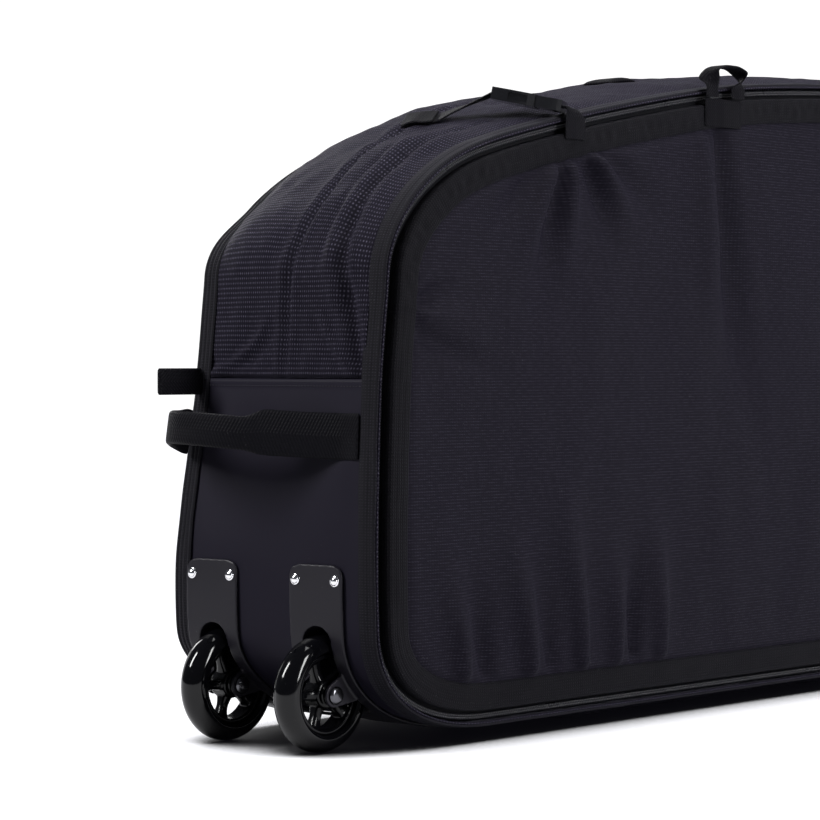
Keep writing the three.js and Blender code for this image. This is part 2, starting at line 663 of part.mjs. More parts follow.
// The end handle, seen from above: share of the wall's width, share of the bow, and how far the
// webbing is folded into the grip.
const handleRows = [
  { wide: 0.02, stand: 0, fold: 0 }, { wide: 0.13, stand: 0.01, fold: 0 },
  { wide: 0.25, stand: 0.2, fold: 0 }, { wide: 0.38, stand: 0.46, fold: 0 },
  { wide: 0.47, stand: 0.62, fold: 0.4 }, { wide: 0.55, stand: 0.76, fold: 1 },
  { wide: 0.68, stand: 0.93, fold: 1 }, { wide: 0.8, stand: 1, fold: 0.9 },
  { wide: 0.9, stand: 0.92, fold: 0.4 }, { wide: 0.98, stand: 0.7, fold: 0 },
  { wide: 1.03, stand: 0.42, fold: 0 }, { wide: 1.055, stand: 0.14, fold: 0 },
  { wide: 1.06, stand: 0.03, fold: 0 },
];
function makeHandle() {
  const half = handleWide / 2;
  const thickAt = (fold) => THREE.MathUtils.lerp(handleThick, gripThick, fold);
  const lines = [-half, half].map((rise) => handleRows.map(({ wide, stand, fold }) => {
    const u = stationAtHeight(Math.min(wide, 1), handleZ + rise, marks.tailLower, count);
    return new THREE.Vector3(...onWall(u, wide, handleSeat + thickAt(fold) / 2 + stand * handleBow));
  }));
  add('end_handle', ribbon(handleRows.map(({ fold }, i) => {
    const [low, high] = lines.map((line) => line[i]);
    const width = THREE.MathUtils.lerp(1, gripWide / handleWide, fold);
    const across = high.clone().sub(low).multiplyScalar(width / 2);
    return { at: low.clone().add(high).divideScalar(2), across, thick: thickAt(fold) };
  })), finishes.webbing);
}

// The folded webbing loop in the back edge, seen from above: shares of its length and half thickness.
const backLoopRows = [[0, -1], [0.85, -1], [0.97, -0.8], [1, 0], [0.97, 0.8], [0.85, 1], [0, 1]];
function makeBackLoop() {
  const half = stubWide / 2;
  const [edgeX] = backEdge(stationAtHeight(1, stubZ - half, marks.tailLower, count), gap);
  const middle = backEdgeY + gap + backBindingWide / 2;
  const ply = (stubThick - 2 * gap) / 2;
  add('back_loop', ribbon(backLoopRows.map(([out, side]) => ({
    at: new THREE.Vector3(edgeX - out * stubLong, middle + side * (ply / 2 + gap), stubZ),
    across: new THREE.Vector3(0, 0, half),
    thick: Math.abs(side) === 1 ? ply : ply * 0.8,
  }))), finishes.webbing);
}

// The height of the top of the side wall at a place seen from above.
function wallTop(x, y) {
  const wide = wideAt(y);
  for (let u = marks.shoulder; u < marks.noseUpper; u += 0.02) {
    const p = onWall(u, wide, wallRelief(u, wide));
    if (p[0] >= x) return p[2];
  }
  return bagHeight;
}

// The strap over the top edge. It starts on the side wall and runs forwards to the lid's edge.
// Rows give shares of the way from strapStart to strapEnd and the height over the wall.
const strapRows = [
  { way: 0.03, over: 1.6 }, { way: 0.12, over: 1.6 }, { way: 0.22, over: 1.6 }, { way: 0.34, over: 2 },
  { way: 0.44, over: 5 },
];
// The strap's tail: share of its way out to the lid's face, share of its fall, and how far it has
// turned to lie along the edge.
const strapTailRows = [
  { out: 0, down: 0, turn: 0 }, { out: 0.5, down: 0.06, turn: 0.3 }, { out: 0.88, down: 0.2, turn: 0.7 },
  { out: 1, down: 0.45, turn: 1 }, { out: 1, down: 0.7, turn: 1 }, { out: 1, down: 1, turn: 1 },
];
const strapReach = 12;
const patchScale = 1.2;         // width of the sewn patch over that of the strap
function makeStrap() {
  const start = new THREE.Vector3(strapStart.x, strapStart.y, 0);
  const run = new THREE.Vector3(strapEnd.x, strapEnd.y, 0).sub(start);
  const ahead = run.clone().normalize();
  const sideways = new THREE.Vector3(-ahead.y, ahead.x, 0);
  const row = (way, over, scale) => {
    const at = start.clone().addScaledVector(run, way);
    const ends = [-1, 1].map((s) => at.clone().addScaledVector(sideways, s * strapWide / 2));
    for (const end of ends) end.z = wallTop(end.x, end.y) + over + strapThick / 2;
    const across = ends[1].clone().sub(ends[0]).multiplyScalar(scale / 2);
    return { at: ends[0].clone().add(ends[1]).divideScalar(2), across, thick: strapThick };
  };
  const patch = strapRows.slice(0, 3);
  add('strap_patch', ribbon(patch.map(({ way, over }) => row(way, over + strapThick + gap, patchScale))),
    finishes.webbing);

  const buckle = new THREE.Group();
  const middle = start.clone().addScaledVector(run, buckleWay);
  buckle.position.set(middle.x, middle.y, wallTop(middle.x, middle.y) + buckleOver);
  buckle.rotation.set(0, buckleTilt, Math.atan2(ahead.y, ahead.x), 'ZYX');
  bag.add(buckle);
  makeBuckle(buckle);

  const entry = strapPlace(buckle, new THREE.Vector3(-buckleLong / 2 - strapEndGap, 0, 0));
  const lastAcross = sideways.clone().multiplyScalar(strapWide / 2);
  add('top_strap', ribbon([
    ...strapRows.map(({ way, over }) => row(way, over, 1)),
    { at: entry, across: lastAcross, thick: strapThick },
  ]), finishes.webbing);

  const exit = strapPlace(buckle, new THREE.Vector3(buckleLong / 2 + strapEndGap, 0, 0));
  const faceY = flapFaceY - strapThick / 2 - 2 * gap;
  add('strap_tail', ribbon(strapTailRows.map(({ out, down, turn }) => ({
    at: new THREE.Vector3(exit.x + ahead.x * out * strapReach,
      THREE.MathUtils.lerp(exit.y, faceY, out), exit.z - down * strapFall),
    across: sideways.clone().lerp(new THREE.Vector3(1, 0, 0), turn).setLength(strapWide / 2),
    thick: strapThick,
  }))), finishes.webbing);
}

// A place given in the buckle's own frame, in the frame of the bag.
function strapPlace(buckle, place) {
  return place.applyQuaternion(buckle.quaternion).add(buckle.position);
}

// Both halves of the buckle, fastened, with the long way along x.
function makeBuckle(parent) {
  const split = buckleLong * 0.12;
  const room = buckleThick - 2 * buckleWall;
  const box = (x0, x1, wide, high) => toSolid(new THREE.BoxGeometry(x1 - x0, wide, high)
    .translate((x0 + x1) / 2, 0, 0));
  const rounded = (x0, x1, wide, high, bow) => {
    const outline = new THREE.Shape();
    outline.moveTo(x0, -wide / 2 + bow);
    outline.quadraticCurveTo((x0 + x1) / 2, -wide / 2 - bow, x1, -wide / 2 + bow);
    outline.lineTo(x1, wide / 2 - bow);
    outline.quadraticCurveTo((x0 + x1) / 2, wide / 2 + bow, x0, wide / 2 - bow);
    const block = new THREE.ExtrudeGeometry(outline, { depth: high, bevelEnabled: false, curveSegments: 6 });
    return toSolid(block.translate(0, 0, -high / 2));
  };
  const from = -buckleLong / 2;
  let socket = rounded(from, split, buckleWide, buckleThick, 2);
  socket = socket.subtract(box(from + socketLip, split + 1, buckleWide - 4 * buckleWall, room));
  socket = socket.subtract(box(from + windowLip, split - windowEnd, 2 * buckleWide, room));
  add('buckle_socket', fromSolid(socket), finishes.buckle, parent);

  let tongue = rounded(split + gap, buckleLong / 2, buckleWide - 3, buckleThick - 1, 1.5);
  const slotEnd = buckleLong / 2 - tongueSlot;
  tongue = tongue.subtract(box(slotEnd - tongueSlot, slotEnd, buckleWide - 4 * buckleWall, 2 * buckleThick));
  const prongY = buckleWide / 2 - 2 * buckleWall - gap - prongWide / 2;
  for (const way of [-1, 1]) {
    const prong = new THREE.BoxGeometry(prongLong, prongWide, room - 2 * gap)
      .translate(split + gap - prongLong / 2 + 1, way * prongY, 0);
    tongue = tongue.add(toSolid(prong));
  }
  add('buckle_tongue', fromSolid(tongue), finishes.buckle, parent);
}

// The webbing loop on the lid's top edge: shares of half its span and of its height, and the
// turn of the webbing from flat on the face to edge on.
const carryLoopRows = [
  [-0.8, -0.55, 0], [-0.82, 0, 0], [-1, 0.35, 0.5], [-0.88, 0.75, 1], [-0.45, 0.97, 1], [0, 1, 1],
  [0.45, 0.97, 1], [0.88, 0.75, 1], [1, 0.35, 0.5], [0.82, 0, 0], [0.8, -0.55, 0],
];
function makeCarryLoop() {
  const edgeZ = lidTopAt(loopX);
  const faceY = flapFaceY - patchThick - 2 * gap;
  add('carry_loop', ribbon(carryLoopRows.map(([along, up, turn]) => {
    const tilt = turn * Math.PI / 2;
    const half = loopWide / 2;
    return {
      at: new THREE.Vector3(loopX + along * loopSpan / 2, faceY - loopThick / 2, edgeZ + up * loopHigh),
      across: new THREE.Vector3(Math.sign(along || 1) * Math.cos(tilt) * half, Math.sin(tilt) * half, 0),
      thick: loopThick,
    };
  })), finishes.webbing);
}

// The height of the lid's upper edge seam at x.
function lidTopAt(x) {
  for (let u = marks.shoulder; u < marks.noseUpper; u += 0.02) {
    const [px, pz] = lidEdge(u, 0);
    if (px >= x) return pz;
  }
  return bagHeight;
}

// The patch under the webbing loop, sewn across the flap and the binding.
function makeLoopPatch() {
  const top = lidTopAt(loopX) - loopHigh * 0.42;
  const half = loopSpan / 2 + 3;
  const y = flapFaceY - gap - patchThick / 2;
  add('loop_patch', ribbon([0, 1].map((down) => ({
    at: new THREE.Vector3(loopX, y, top - down * patchHigh),
    across: new THREE.Vector3(half, 0, 0),
    thick: patchThick,
  }))), finishes.webbing);
}

// The folded webbing tab on the top of the side wall: shares of its length and of its height.
const tabRows = [[-0.5, 0.3], [-0.34, 0.75], [-0.12, 1], [0.12, 1], [0.34, 0.75], [0.5, 0.3]];
function makeTopTab() {
  add('top_tab', ribbon(tabRows.map(([along, high]) => {
    const x = tabX + along * tabLong;
    const z = wallTop(x, tabY) + tabSeat + high * tabHigh / 2;
    return { at: new THREE.Vector3(x, tabY, z), across: new THREE.Vector3(0, tabWide / 2, 0), thick: high * tabHigh };
  })), finishes.webbing);
}

// The zip's slider on the chain and the pull that hangs from it, on the top edge.
function makeSlider() {
  const [x0, z0] = [sliderX, lidTopAt(sliderX) - chainInset];
  const back = chainFaceY - gap;
  const front = flapFaceY - gap;
  const body = new THREE.Shape();
  const half = sliderLong / 2;
  body.moveTo(-half, -sliderWide * 0.3);
  body.quadraticCurveTo(0, -sliderWide * 0.7, half, -sliderWide * 0.3);
  body.lineTo(half, sliderWide * 0.3);
  body.quadraticCurveTo(0, sliderWide * 0.7, -half, sliderWide * 0.3);
  const slider = new THREE.ExtrudeGeometry(body, { depth: back - front, bevelEnabled: false, curveSegments: 6 });
  add('zip_slider', slider.rotateX(Math.PI / 2).translate(x0, back, z0), finishes.chain);

  const pullFace = front - gap;
  add('zip_pull', ribbon([0, 0.25, 1].map((down, i) => ({
    at: new THREE.Vector3(x0, pullFace - pullThick / 2, z0 + 2 - down * pullLong),
    across: new THREE.Vector3(pullWide * (i === 0 ? 0.35 : 0.5), 0, 0),
    thick: pullThick,
  }))), finishes.chain);
}

function makeExtras() {
  makeCarryLoop();
  makeLoopPatch();
  makeTopTab();
  makeSlider();
}

// The origin is on the floor, under the flat of the lower side wall where the bag rests.
bag.position.set(-restX, -(lidEdgeY + backEdgeY) / 2, 0);

makeWalls();
makeTail();
makeEdges();
makePanels();
for (const { side, y } of wheels) makeWheel(side, y);
makeRivets();
makeHandle();
makeBackLoop();
makeStrap();
makeExtras();

export default bag;
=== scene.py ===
"""Looks of a wheeled surfboard bag: cloth, zip, webbing, moulded parts and wheels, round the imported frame."""

import math

import bmesh
import bpy
import numpy as np
from bpy.props import FloatProperty, FloatVectorProperty, PointerProperty
from mathutils import Matrix, Vector


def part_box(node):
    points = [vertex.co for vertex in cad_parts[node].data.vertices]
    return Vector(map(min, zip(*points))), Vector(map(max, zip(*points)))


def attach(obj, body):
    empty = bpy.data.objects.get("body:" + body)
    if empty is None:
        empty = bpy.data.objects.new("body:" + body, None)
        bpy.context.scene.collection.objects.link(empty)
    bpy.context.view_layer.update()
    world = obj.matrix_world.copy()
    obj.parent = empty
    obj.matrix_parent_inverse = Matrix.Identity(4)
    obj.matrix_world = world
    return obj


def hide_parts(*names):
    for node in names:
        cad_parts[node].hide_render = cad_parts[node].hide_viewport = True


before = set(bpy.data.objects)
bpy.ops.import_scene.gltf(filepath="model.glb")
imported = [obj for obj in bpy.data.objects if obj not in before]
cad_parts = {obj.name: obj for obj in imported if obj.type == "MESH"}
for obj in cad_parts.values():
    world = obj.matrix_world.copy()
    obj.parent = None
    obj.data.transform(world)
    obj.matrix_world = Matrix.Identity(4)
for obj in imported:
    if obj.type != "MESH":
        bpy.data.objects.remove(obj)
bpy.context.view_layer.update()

bl_info = {
    "name": "Board Bag Maker",
    "version": (1, 0, 0),
    "blender": (4, 5, 0),
    "location": "View3D > Sidebar > Board Bag",
    "description": "Makes the cloth, zip, webbing and wheels of a wheeled surfboard bag",
    "category": "Mesh",
}

MM = 0.001
GAP = 0.3 * MM
SEAM_GAP = 0.4 * MM

# Thicknesses, lengths and mesh steps
SPAN_STEPS = 120
FINE_STEP, COARSE_STEP = 3 * MM, 9 * MM
LID_CLOTH_THICK = 3 * MM
BACK_CLOTH_THICK = 7 * MM
TAIL_CLOTH_THICK = 4 * MM
WEB_THICK = 2 * MM

# Places that the frame gives
SEAM_LOW, SEAM_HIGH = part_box("lid_binding")
WALL_LOW, WALL_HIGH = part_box("upper_side_wall")
FLAP_LOW, FLAP_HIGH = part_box("zip_flap")
NOSE_X = SEAM_HIGH.x
LID_EDGE_Y = WALL_LOW.y
BACK_EDGE_Y = WALL_HIGH.y
LID_FACE_Y = SEAM_LOW.y
FLAP_FACE_Y = FLAP_LOW.y
TAPE_FACE_Y = FLAP_HIGH.y + GAP
BACK_FACE_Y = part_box("back_binding")[1].y

# The edge seam seen from the lid, from the tail seam over the top, round the nose and back along
# the bottom, in shares of the length and of the height above the lowest seam. swell is how far the
# side wall bulges at the span's end.
SEAM_START = (0.0015, 0.5028)
SPANS = (
    {"name": "tail_upper", "c1": (0.0025, 0.5562), "c2": (0.0045, 0.6022), "end": (0.0055, 0.6483),
     "swell": 6},
    {"name": "shoulder", "c1": (0.007, 0.7311), "c2": (0.031, 0.8085), "end": (0.059, 0.8416), "swell": 11},
    {"name": "top_tail", "c1": (0.085, 0.8729), "c2": (0.15, 0.9227), "end": (0.2025, 0.954), "swell": 10},
    {"name": "top_middle", "c1": (0.2525, 0.9834), "c2": (0.35, 1.0), "end": (0.43, 1.0), "swell": 11},
    {"name": "top_nose", "c1": (0.59, 1.0), "c2": (0.8, 0.86), "end": (0.93, 0.6206), "swell": 12},
    {"name": "nose_upper", "c1": (0.9625, 0.5599), "c2": (1.0, 0.4696), "end": (1.0, 0.3591), "swell": 8},
    {"name": "nose_lower", "c1": (1.0, 0.267), "c2": (0.979, 0.2007), "end": (0.9475, 0.1565), "swell": 10},
    {"name": "bottom_nose", "c1": (0.875, 0.0552), "c2": (0.75, 0.0), "end": (0.625, 0.0), "swell": 13},
    {"name": "bottom", "c1": (0.45, 0.0), "c2": (0.3, 0.0), "end": (0.14, 0.0), "swell": 13},
    {"name": "bottom_tail", "c1": (0.12, 0.0), "c2": (0.09, 0.0), "end": (0.065, 0.0), "swell": 0},
    {"name": "corner", "c1": (0.0275, 0.0), "c2": (0.001, 0.0497), "end": (0.0, 0.151), "swell": 0},
    {"name": "tail_lower", "c1": (-0.0015, 0.2523), "c2": (0.0, 0.3996), "end": (0.0015, 0.5028), "swell": 0},
)
LEAN_FADE = {"from_above": (0.56, 0.2), "from_floor": (0.03, 0.15), "from_nose": (0.1, 0.03)}
RISE_FADE = (0.6, 0.85)
BACK_SHOULDER = {"start": (0.08, 0.16), "end": (0.19, 0.36), "deep": 17 * MM}


def ramp(value, start, end):
    share = np.clip((value - start) / (end - start), 0, 1)
    return share * share * (3 - 2 * share)


def bump_curve(value, middle, wide):
    """A smooth rise and fall of height 1 about middle."""
    return np.exp(-(((value - middle) / wide) ** 2))


def waves(seed, along, across, size, count=7):
    """Smooth, even unevenness of about 1 at most, with waves near size long."""
    rng = np.random.default_rng(seed)
    total = np.zeros(np.broadcast(along, across).shape)
    for _ in range(count):
        turn = rng.uniform(0, math.tau)
        long = size * rng.uniform(0.6, 1.7)
        phase = rng.uniform(0, math.tau)
        total += np.sin((along * math.cos(turn) + across * math.sin(turn)) * math.tau / long + phase)
    return total / math.sqrt(2 * count)


class BagOutline:
    """The bag's edge seams and the side wall between them, by length s along the lid's seam."""

    def __init__(self, sizes):
        self.length = sizes.length
        self.tail_x = NOSE_X - sizes.length
        self.top = sizes.height
        self.lift = sizes.seam_lift
        tall = self.top - self.lift
        places, swells, names = [], [], []
        start, swell = np.array(SEAM_START), SPANS[-1]["swell"]
        for span in SPANS:
            t = np.linspace(0, 1, SPAN_STEPS, endpoint=False)[:, None]
            c1, c2, end = (np.array(span[key]) for key in ("c1", "c2", "end"))
            curve = (1 - t) ** 3 * start + 3 * (1 - t) ** 2 * t * c1 + 3 * (1 - t) * t**2 * c2 + t**3 * end
            names.append((span["name"], len(places) * SPAN_STEPS))
            places.append(curve)
            swells.append(swell + (span["swell"] - swell) * t[:, 0])
            start, swell = end, span["swell"]
        places = np.concatenate(places)
        x = self.tail_x + places[:, 0] * self.length
        z = self.lift + places[:, 1] * tall
        up, along = z / self.top, places[:, 0]
        lean = ramp(up, *LEAN_FADE["from_above"]) * ramp(up, *LEAN_FADE["from_floor"])
        lean = sizes.tail_lean * lean * ramp(along, *LEAN_FADE["from_nose"])
        rise = sizes.back_rise * ramp(up, *RISE_FADE)
        self.lid_line = np.stack([x, z], 1)
        self.back_line = np.stack([x - lean, z + rise], 1)
        step = np.linalg.norm(np.roll(self.lid_line, -1, 0) - self.lid_line, axis=1)
        self.s = np.concatenate([[0], np.cumsum(step)[:-1]])
        self.round = float(step.sum())
        self.marks = {name: float(self.s[index]) for name, index in names}
        self.swells = np.concatenate(swells) * MM
        self.lid_out = self.outward(self.lid_line)
        cut = ramp(self.s, *BACK_SHOULDER["start"]) * (1 - ramp(self.s, *BACK_SHOULDER["end"]))
        inward = (BACK_SHOULDER["deep"] * cut)[:, None]
        self.back_line = self.back_line - self.outward(self.back_line) * inward
        self.back_out = self.outward(self.back_line)

    def outward(self, line):
        ahead = np.roll(line, -1, 0) - np.roll(line, 1, 0)
        out = np.stack([-ahead[:, 1], ahead[:, 0]], 1)
        return out / np.linalg.norm(out, axis=1)[:, None]

    def pick(self, s, values):
        s = np.asarray(s, float)
        if values.ndim == 1:
            return np.interp(s, self.s, values, period=self.round)
        return np.stack([np.interp(s, self.s, column, period=self.round) for column in values.T], -1)

    def lid(self, s, out=0.0):
        return self.pick(s, self.lid_line) + self.pick(s, self.lid_out) * np.asarray(out)[..., None]

    def back(self, s, out=0.0):
        return self.pick(s, self.back_line) + self.pick(s, self.back_out) * np.asarray(out)[..., None]

    def wall(self, s, wide, out=0.0):
        """Points of the side wall: s along it, wide from the lid (0) to the back (1), out from it."""
        s, wide, out = np.broadcast_arrays(*(np.asarray(v, float) for v in (s, wide, out)))
        flat = self.lid(s, out) * (1 - wide)[..., None] + self.back(s, out) * wide[..., None]
        y = LID_EDGE_Y + (BACK_EDGE_Y - LID_EDGE_Y) * wide
        return np.stack([flat[..., 0], y, flat[..., 1]], -1)

    def at_height(self, z, wide, start, end):
        """The s between start and end where the wall is at height z."""
        s = np.linspace(start, end, 600)
        heights = self.wall(s, wide)[:, 2]
        return float(s[np.argmin(np.abs(heights - z))])

    def at_x(self, x, wide, start, end):
        s = np.linspace(start, end, 2400)
        return float(s[np.argmin(np.abs(self.wall(s, wide)[:, 0] - x))])

    def stations(self, start, end, fine, coarse, near=0.56):
        """Values of s from start to end, fine near the tail and coarse beyond."""
        s, found = start, []
        while s < end:
            found.append(s)
            near_tail = self.lid(s)[0] - self.tail_x
            s += fine + (coarse - fine) * float(ramp(near_tail, near, near + 0.25))
        found = np.array(found)
        return start + (found - start) * (end - start) / (s - start)


def across_the_bag(shape, line, inset, columns, rows):
    """An even grid of (x, z) places inside an edge seam, blended from its four sides."""
    tail_low, tail_top = shape.marks["corner"] - 0.06, 0.10
    nose_top, nose_low = shape.marks["nose_upper"] - 0.02, shape.marks["nose_lower"] + 0.06
    u, v = np.linspace(0, 1, columns), np.linspace(0, 1, rows)
    fine = u * (0.45 + 0.55 * u)
    tail = line(tail_low + (tail_top + shape.round - tail_low) * v, -inset)
    top = line(tail_top + (nose_top - tail_top) * fine, -inset)
    nose = line(nose_low + (nose_top - nose_low) * v, -inset)
    bottom = line(tail_low + (nose_low - tail_low) * fine, -inset)
    u, v = fine[:, None, None], v[None, :, None]
    sides = (1 - v) * bottom[:, None] + v * top[:, None] + (1 - u) * tail[None] + u * nose[None]
    ends = ((1 - u) * (1 - v) * bottom[0] + u * (1 - v) * bottom[-1] + (1 - u) * v * top[0] + u * v * top[-1])
    grid = sides - ends
    border = line(np.linspace(0, shape.round, 900, endpoint=False), -inset)
    edge = np.full(grid.shape[:2], np.inf)
    for place in border:
        edge = np.minimum(edge, np.hypot(grid[..., 0] - place[0], grid[..., 1] - place[1]))
    edge[0], edge[-1], edge[:, 0], edge[:, -1] = 0, 0, 0, 0
    return grid[..., 0], grid[..., 1], np.clip(edge - 1 * MM, 0, None)


# Mesh making


def make_mesh(name, points, faces, cloth=None, material=None):
    """An object from points and quads; cloth gives each face corner its place on the cloth, in metres."""
    mesh = bpy.data.meshes.new(name)
    points = np.asarray(points, float).reshape(-1, 3)
    faces = np.asarray(faces, int)
    corner = points[faces]
    fan = np.cross(corner[:, 1] - corner[:, 0], corner[:, 2] - corner[:, 0])
    if faces.shape[1] == 4:
        fan = fan + np.cross(corner[:, 2] - corner[:, 0], corner[:, 3] - corner[:, 0])
    if (corner.mean(1) * fan).sum() < 0:
        faces = faces[:, ::-1]
        cloth = None if cloth is None else cloth[:, ::-1]
    mesh.from_pydata(points.tolist(), [], faces.tolist())
    mesh.polygons.foreach_set("use_smooth", np.ones(len(faces), bool))
    if cloth is not None:
        layer = mesh.uv_layers.new(name="cloth")
        layer.uv.foreach_set("vector", np.ascontiguousarray(cloth, np.float32).ravel())
    if material:
        mesh.materials.append(bpy.data.materials[material])
    made = bpy.data.objects.new(name, mesh)
    bpy.context.scene.collection.objects.link(made)
    return made


def grid_faces(rows, columns, loop_rows, loop_columns):
    i, j = np.meshgrid(np.arange(rows - (not loop_rows)), np.arange(columns - (not loop_columns)),
                       indexing="ij")
    i, j = i.ravel(), j.ravel()
    near, far = (i % rows) * columns, ((i + 1) % rows) * columns
    k = (j + 1) % columns
    faces = np.stack([near + j, near + k, far + k, far + j], 1)
    places = np.stack([i, i, i + 1, i + 1], 1), np.stack([j, j + 1, j + 1, j], 1)
    return faces, places


def tube(name, grid, cloth, loop=False, material=None):
    """A closed body from sections (rows of points round it). Open ends are capped by strips."""
    rows, around = grid.shape[:2]
    faces, (i, j) = grid_faces(rows, around, loop, True)
    corners = cloth[i, j]
    if not loop:
        a = np.arange(around // 2 - 1)
        first = np.stack([a, around - 1 - a, around - 2 - a, a + 1], 1)
        last = first[:, ::-1] + (rows - 1) * around
        caps = np.concatenate([first, last])
        faces = np.concatenate([faces, caps])
        ends = cloth[:, :around].reshape(-1, 2)
        corners = np.concatenate([corners, ends[caps]])
    return make_mesh(name, grid, faces, corners, material)


def two_skins(name, outer, inner, along, across, material):
    """A padded sheet: an outer and an inner grid joined round their rims."""
    grid = np.concatenate([outer, inner[:, ::-1]], 1)
    wide = np.concatenate([across, across[:, ::-1], across[:, :1]], 1)
    long = np.concatenate([along, along[:, ::-1], along[:, :1]], 1)
    return tube(name, grid, np.stack([long, wide], -1), material=material)


def edge_ring(name, outline, line, profile, material, relief=None, fine=FINE_STEP,
              coarse=COARSE_STEP):
    """A band round the whole edge seam. profile is a closed list of (inset, y) in metres."""
    s = outline.stations(0, outline.round, fine, coarse)
    profile = np.array(profile)
    round_it = np.linalg.norm(np.roll(profile, -1, 0) - profile, axis=1)
    across = np.concatenate([[0], np.cumsum(round_it)])
    middle = profile.mean(0)
    out = profile - middle
    out = out / np.linalg.norm(out, axis=1)[:, None]
    lift = np.zeros((len(s), len(profile))) if relief is None else relief(s[:, None], across[None, :-1])
    inset = profile[None, :, 0] + out[None, :, 0] * lift
    y = profile[None, :, 1] + out[None, :, 1] * lift
    flat = line(np.broadcast_to(s[:, None], inset.shape), -inset)
    grid = np.stack([flat[..., 0], y, flat[..., 1]], -1)
    long = np.concatenate([s, [outline.round]])
    cloth = np.stack(np.meshgrid(long, across, indexing="ij"), -1)
    return tube(name, grid, cloth, loop=True, material=material)


def rounded(points, cut, steps=3):
    """A closed polygon with its corners rounded, as a list of points."""
    points = [np.array(p, float) for p in points]
    made = []
    for i, here in enumerate(points):
        before, after = points[i - 1], points[(i + 1) % len(points)]
        a = here + (before - here) * min(0.45, cut / np.linalg.norm(before - here))
        b = here + (after - here) * min(0.45, cut / np.linalg.norm(after - here))
        for k in range(steps + 1):
            t = k / steps
            made.append((1 - t) ** 2 * a + 2 * t * (1 - t) * here + t * t * b)
    return made


def smooth_rows(rows, samples):
    """Rows of numbers joined by a smooth curve through each of them."""
    rows = np.array(rows, float)
    padded = np.concatenate([[2 * rows[0] - rows[1]], rows, [2 * rows[-1] - rows[-2]]])
    t = np.linspace(0, len(rows) - 1, samples)
    i = np.minimum(t.astype(int), len(rows) - 2)
    u = (t - i)[:, None]
    p0, p1, p2, p3 = padded[i], padded[i + 1], padded[i + 2], padded[i + 3]
    return 0.5 * (2 * p1 + (p2 - p0) * u + (2 * p0 - 5 * p1 + 4 * p2 - p3) * u**2
                  + (3 * p1 - p0 - 3 * p2 + p3) * u**3)


def webbing(name, middles, acrosses, thicks, samples, material, crease=0.0, columns=15):
    """Woven tape along a path: middles, half-width vectors and thicknesses, joined smoothly."""
    rows = np.concatenate([middles, acrosses, np.reshape(thicks, (-1, 1))], 1)
    rows = smooth_rows(rows, samples)
    middle, across, thick = rows[:, :3], rows[:, 3:6], rows[:, 6]
    ahead = np.gradient(middle, axis=0)
    up = np.cross(across, ahead)
    up /= np.linalg.norm(up, axis=1)[:, None]
    share = np.linspace(-1, 1, columns)
    edge = np.sqrt(np.clip(1 - np.abs(share) ** 8, 0, 1)) * 0.96 + 0.04
    edge = edge - crease * bump_curve(share, 0.05, 0.12)
    top = middle[:, None] + across[:, None] * share[None, :, None]
    half = up[:, None] * (thick[:, None] / 2 * edge[None, :])[..., None]
    grid = np.concatenate([top + half, (top - half)[:, ::-1]], 1)
    long = np.concatenate([[0], np.cumsum(np.linalg.norm(np.diff(middle, axis=0), axis=1))])
    wide = np.linalg.norm(across, axis=1)[:, None] * share[None, :]
    wide = np.concatenate([wide, wide[:, ::-1], wide[:, :1]], 1)
    cloth = np.stack([np.broadcast_to(long[:, None], wide.shape), wide], -1)
    return tube(name, grid, cloth, material=material)


def lathe(name, profile, turns, centre, material):
    """A turned body about an axis along Y through centre. profile is a list of (radius, height)."""
    profile = np.array(profile, float)
    angle = np.linspace(0, math.tau, turns, endpoint=False)
    r, h = profile[:, 0], profile[:, 1]
    grid = np.stack([
        np.cos(angle)[:, None] * r,
        np.broadcast_to(h, (turns, len(h))),
        np.sin(angle)[:, None] * r,
    ], -1)
    closed = np.allclose(profile[0], profile[-1])
    if closed:
        grid = grid[:, :-1]
    faces, _ = grid_faces(turns, grid.shape[1], True, closed)
    made = make_mesh(name, grid + np.array(centre), faces, material=material)
    if not closed:
        weld(made)
    return made


def weld(piece, distance=1e-6):
    work = bmesh.new()
    work.from_mesh(piece.data)
    bmesh.ops.remove_doubles(work, verts=work.verts, dist=distance)
    bmesh.ops.dissolve_degenerate(work, edges=work.edges, dist=distance)
    bmesh.ops.recalc_face_normals(work, faces=work.faces)
    work.to_mesh(piece.data)
    work.free()


def apply_modifiers(piece):
    bpy.context.view_layer.update()
    seen = piece.evaluated_get(bpy.context.evaluated_depsgraph_get())
    made = bpy.data.meshes.new_from_object(seen)
    piece.modifiers.clear()
    piece.data = made


def join_solids(base, others, operation="UNION"):
    """Joins or cuts closed bodies, and removes the others."""
    for other in others:
        cut = base.modifiers.new("join", "BOOLEAN")
        cut.object = other
        cut.operation = operation
        cut.solver = "MANIFOLD"
        apply_modifiers(base)
        bpy.data.objects.remove(other)


def mould(piece, voxel, smooth):
    """Gives a joined body the soft edges of a moulding."""
    remesh = piece.modifiers.new("mould", "REMESH")
    remesh.mode = "VOXEL"
    remesh.voxel_size = voxel
    remesh.use_smooth_shade = True
    soften = piece.modifiers.new("soften", "SMOOTH")
    soften.factor = 0.6
    soften.iterations = smooth
    apply_modifiers(piece)


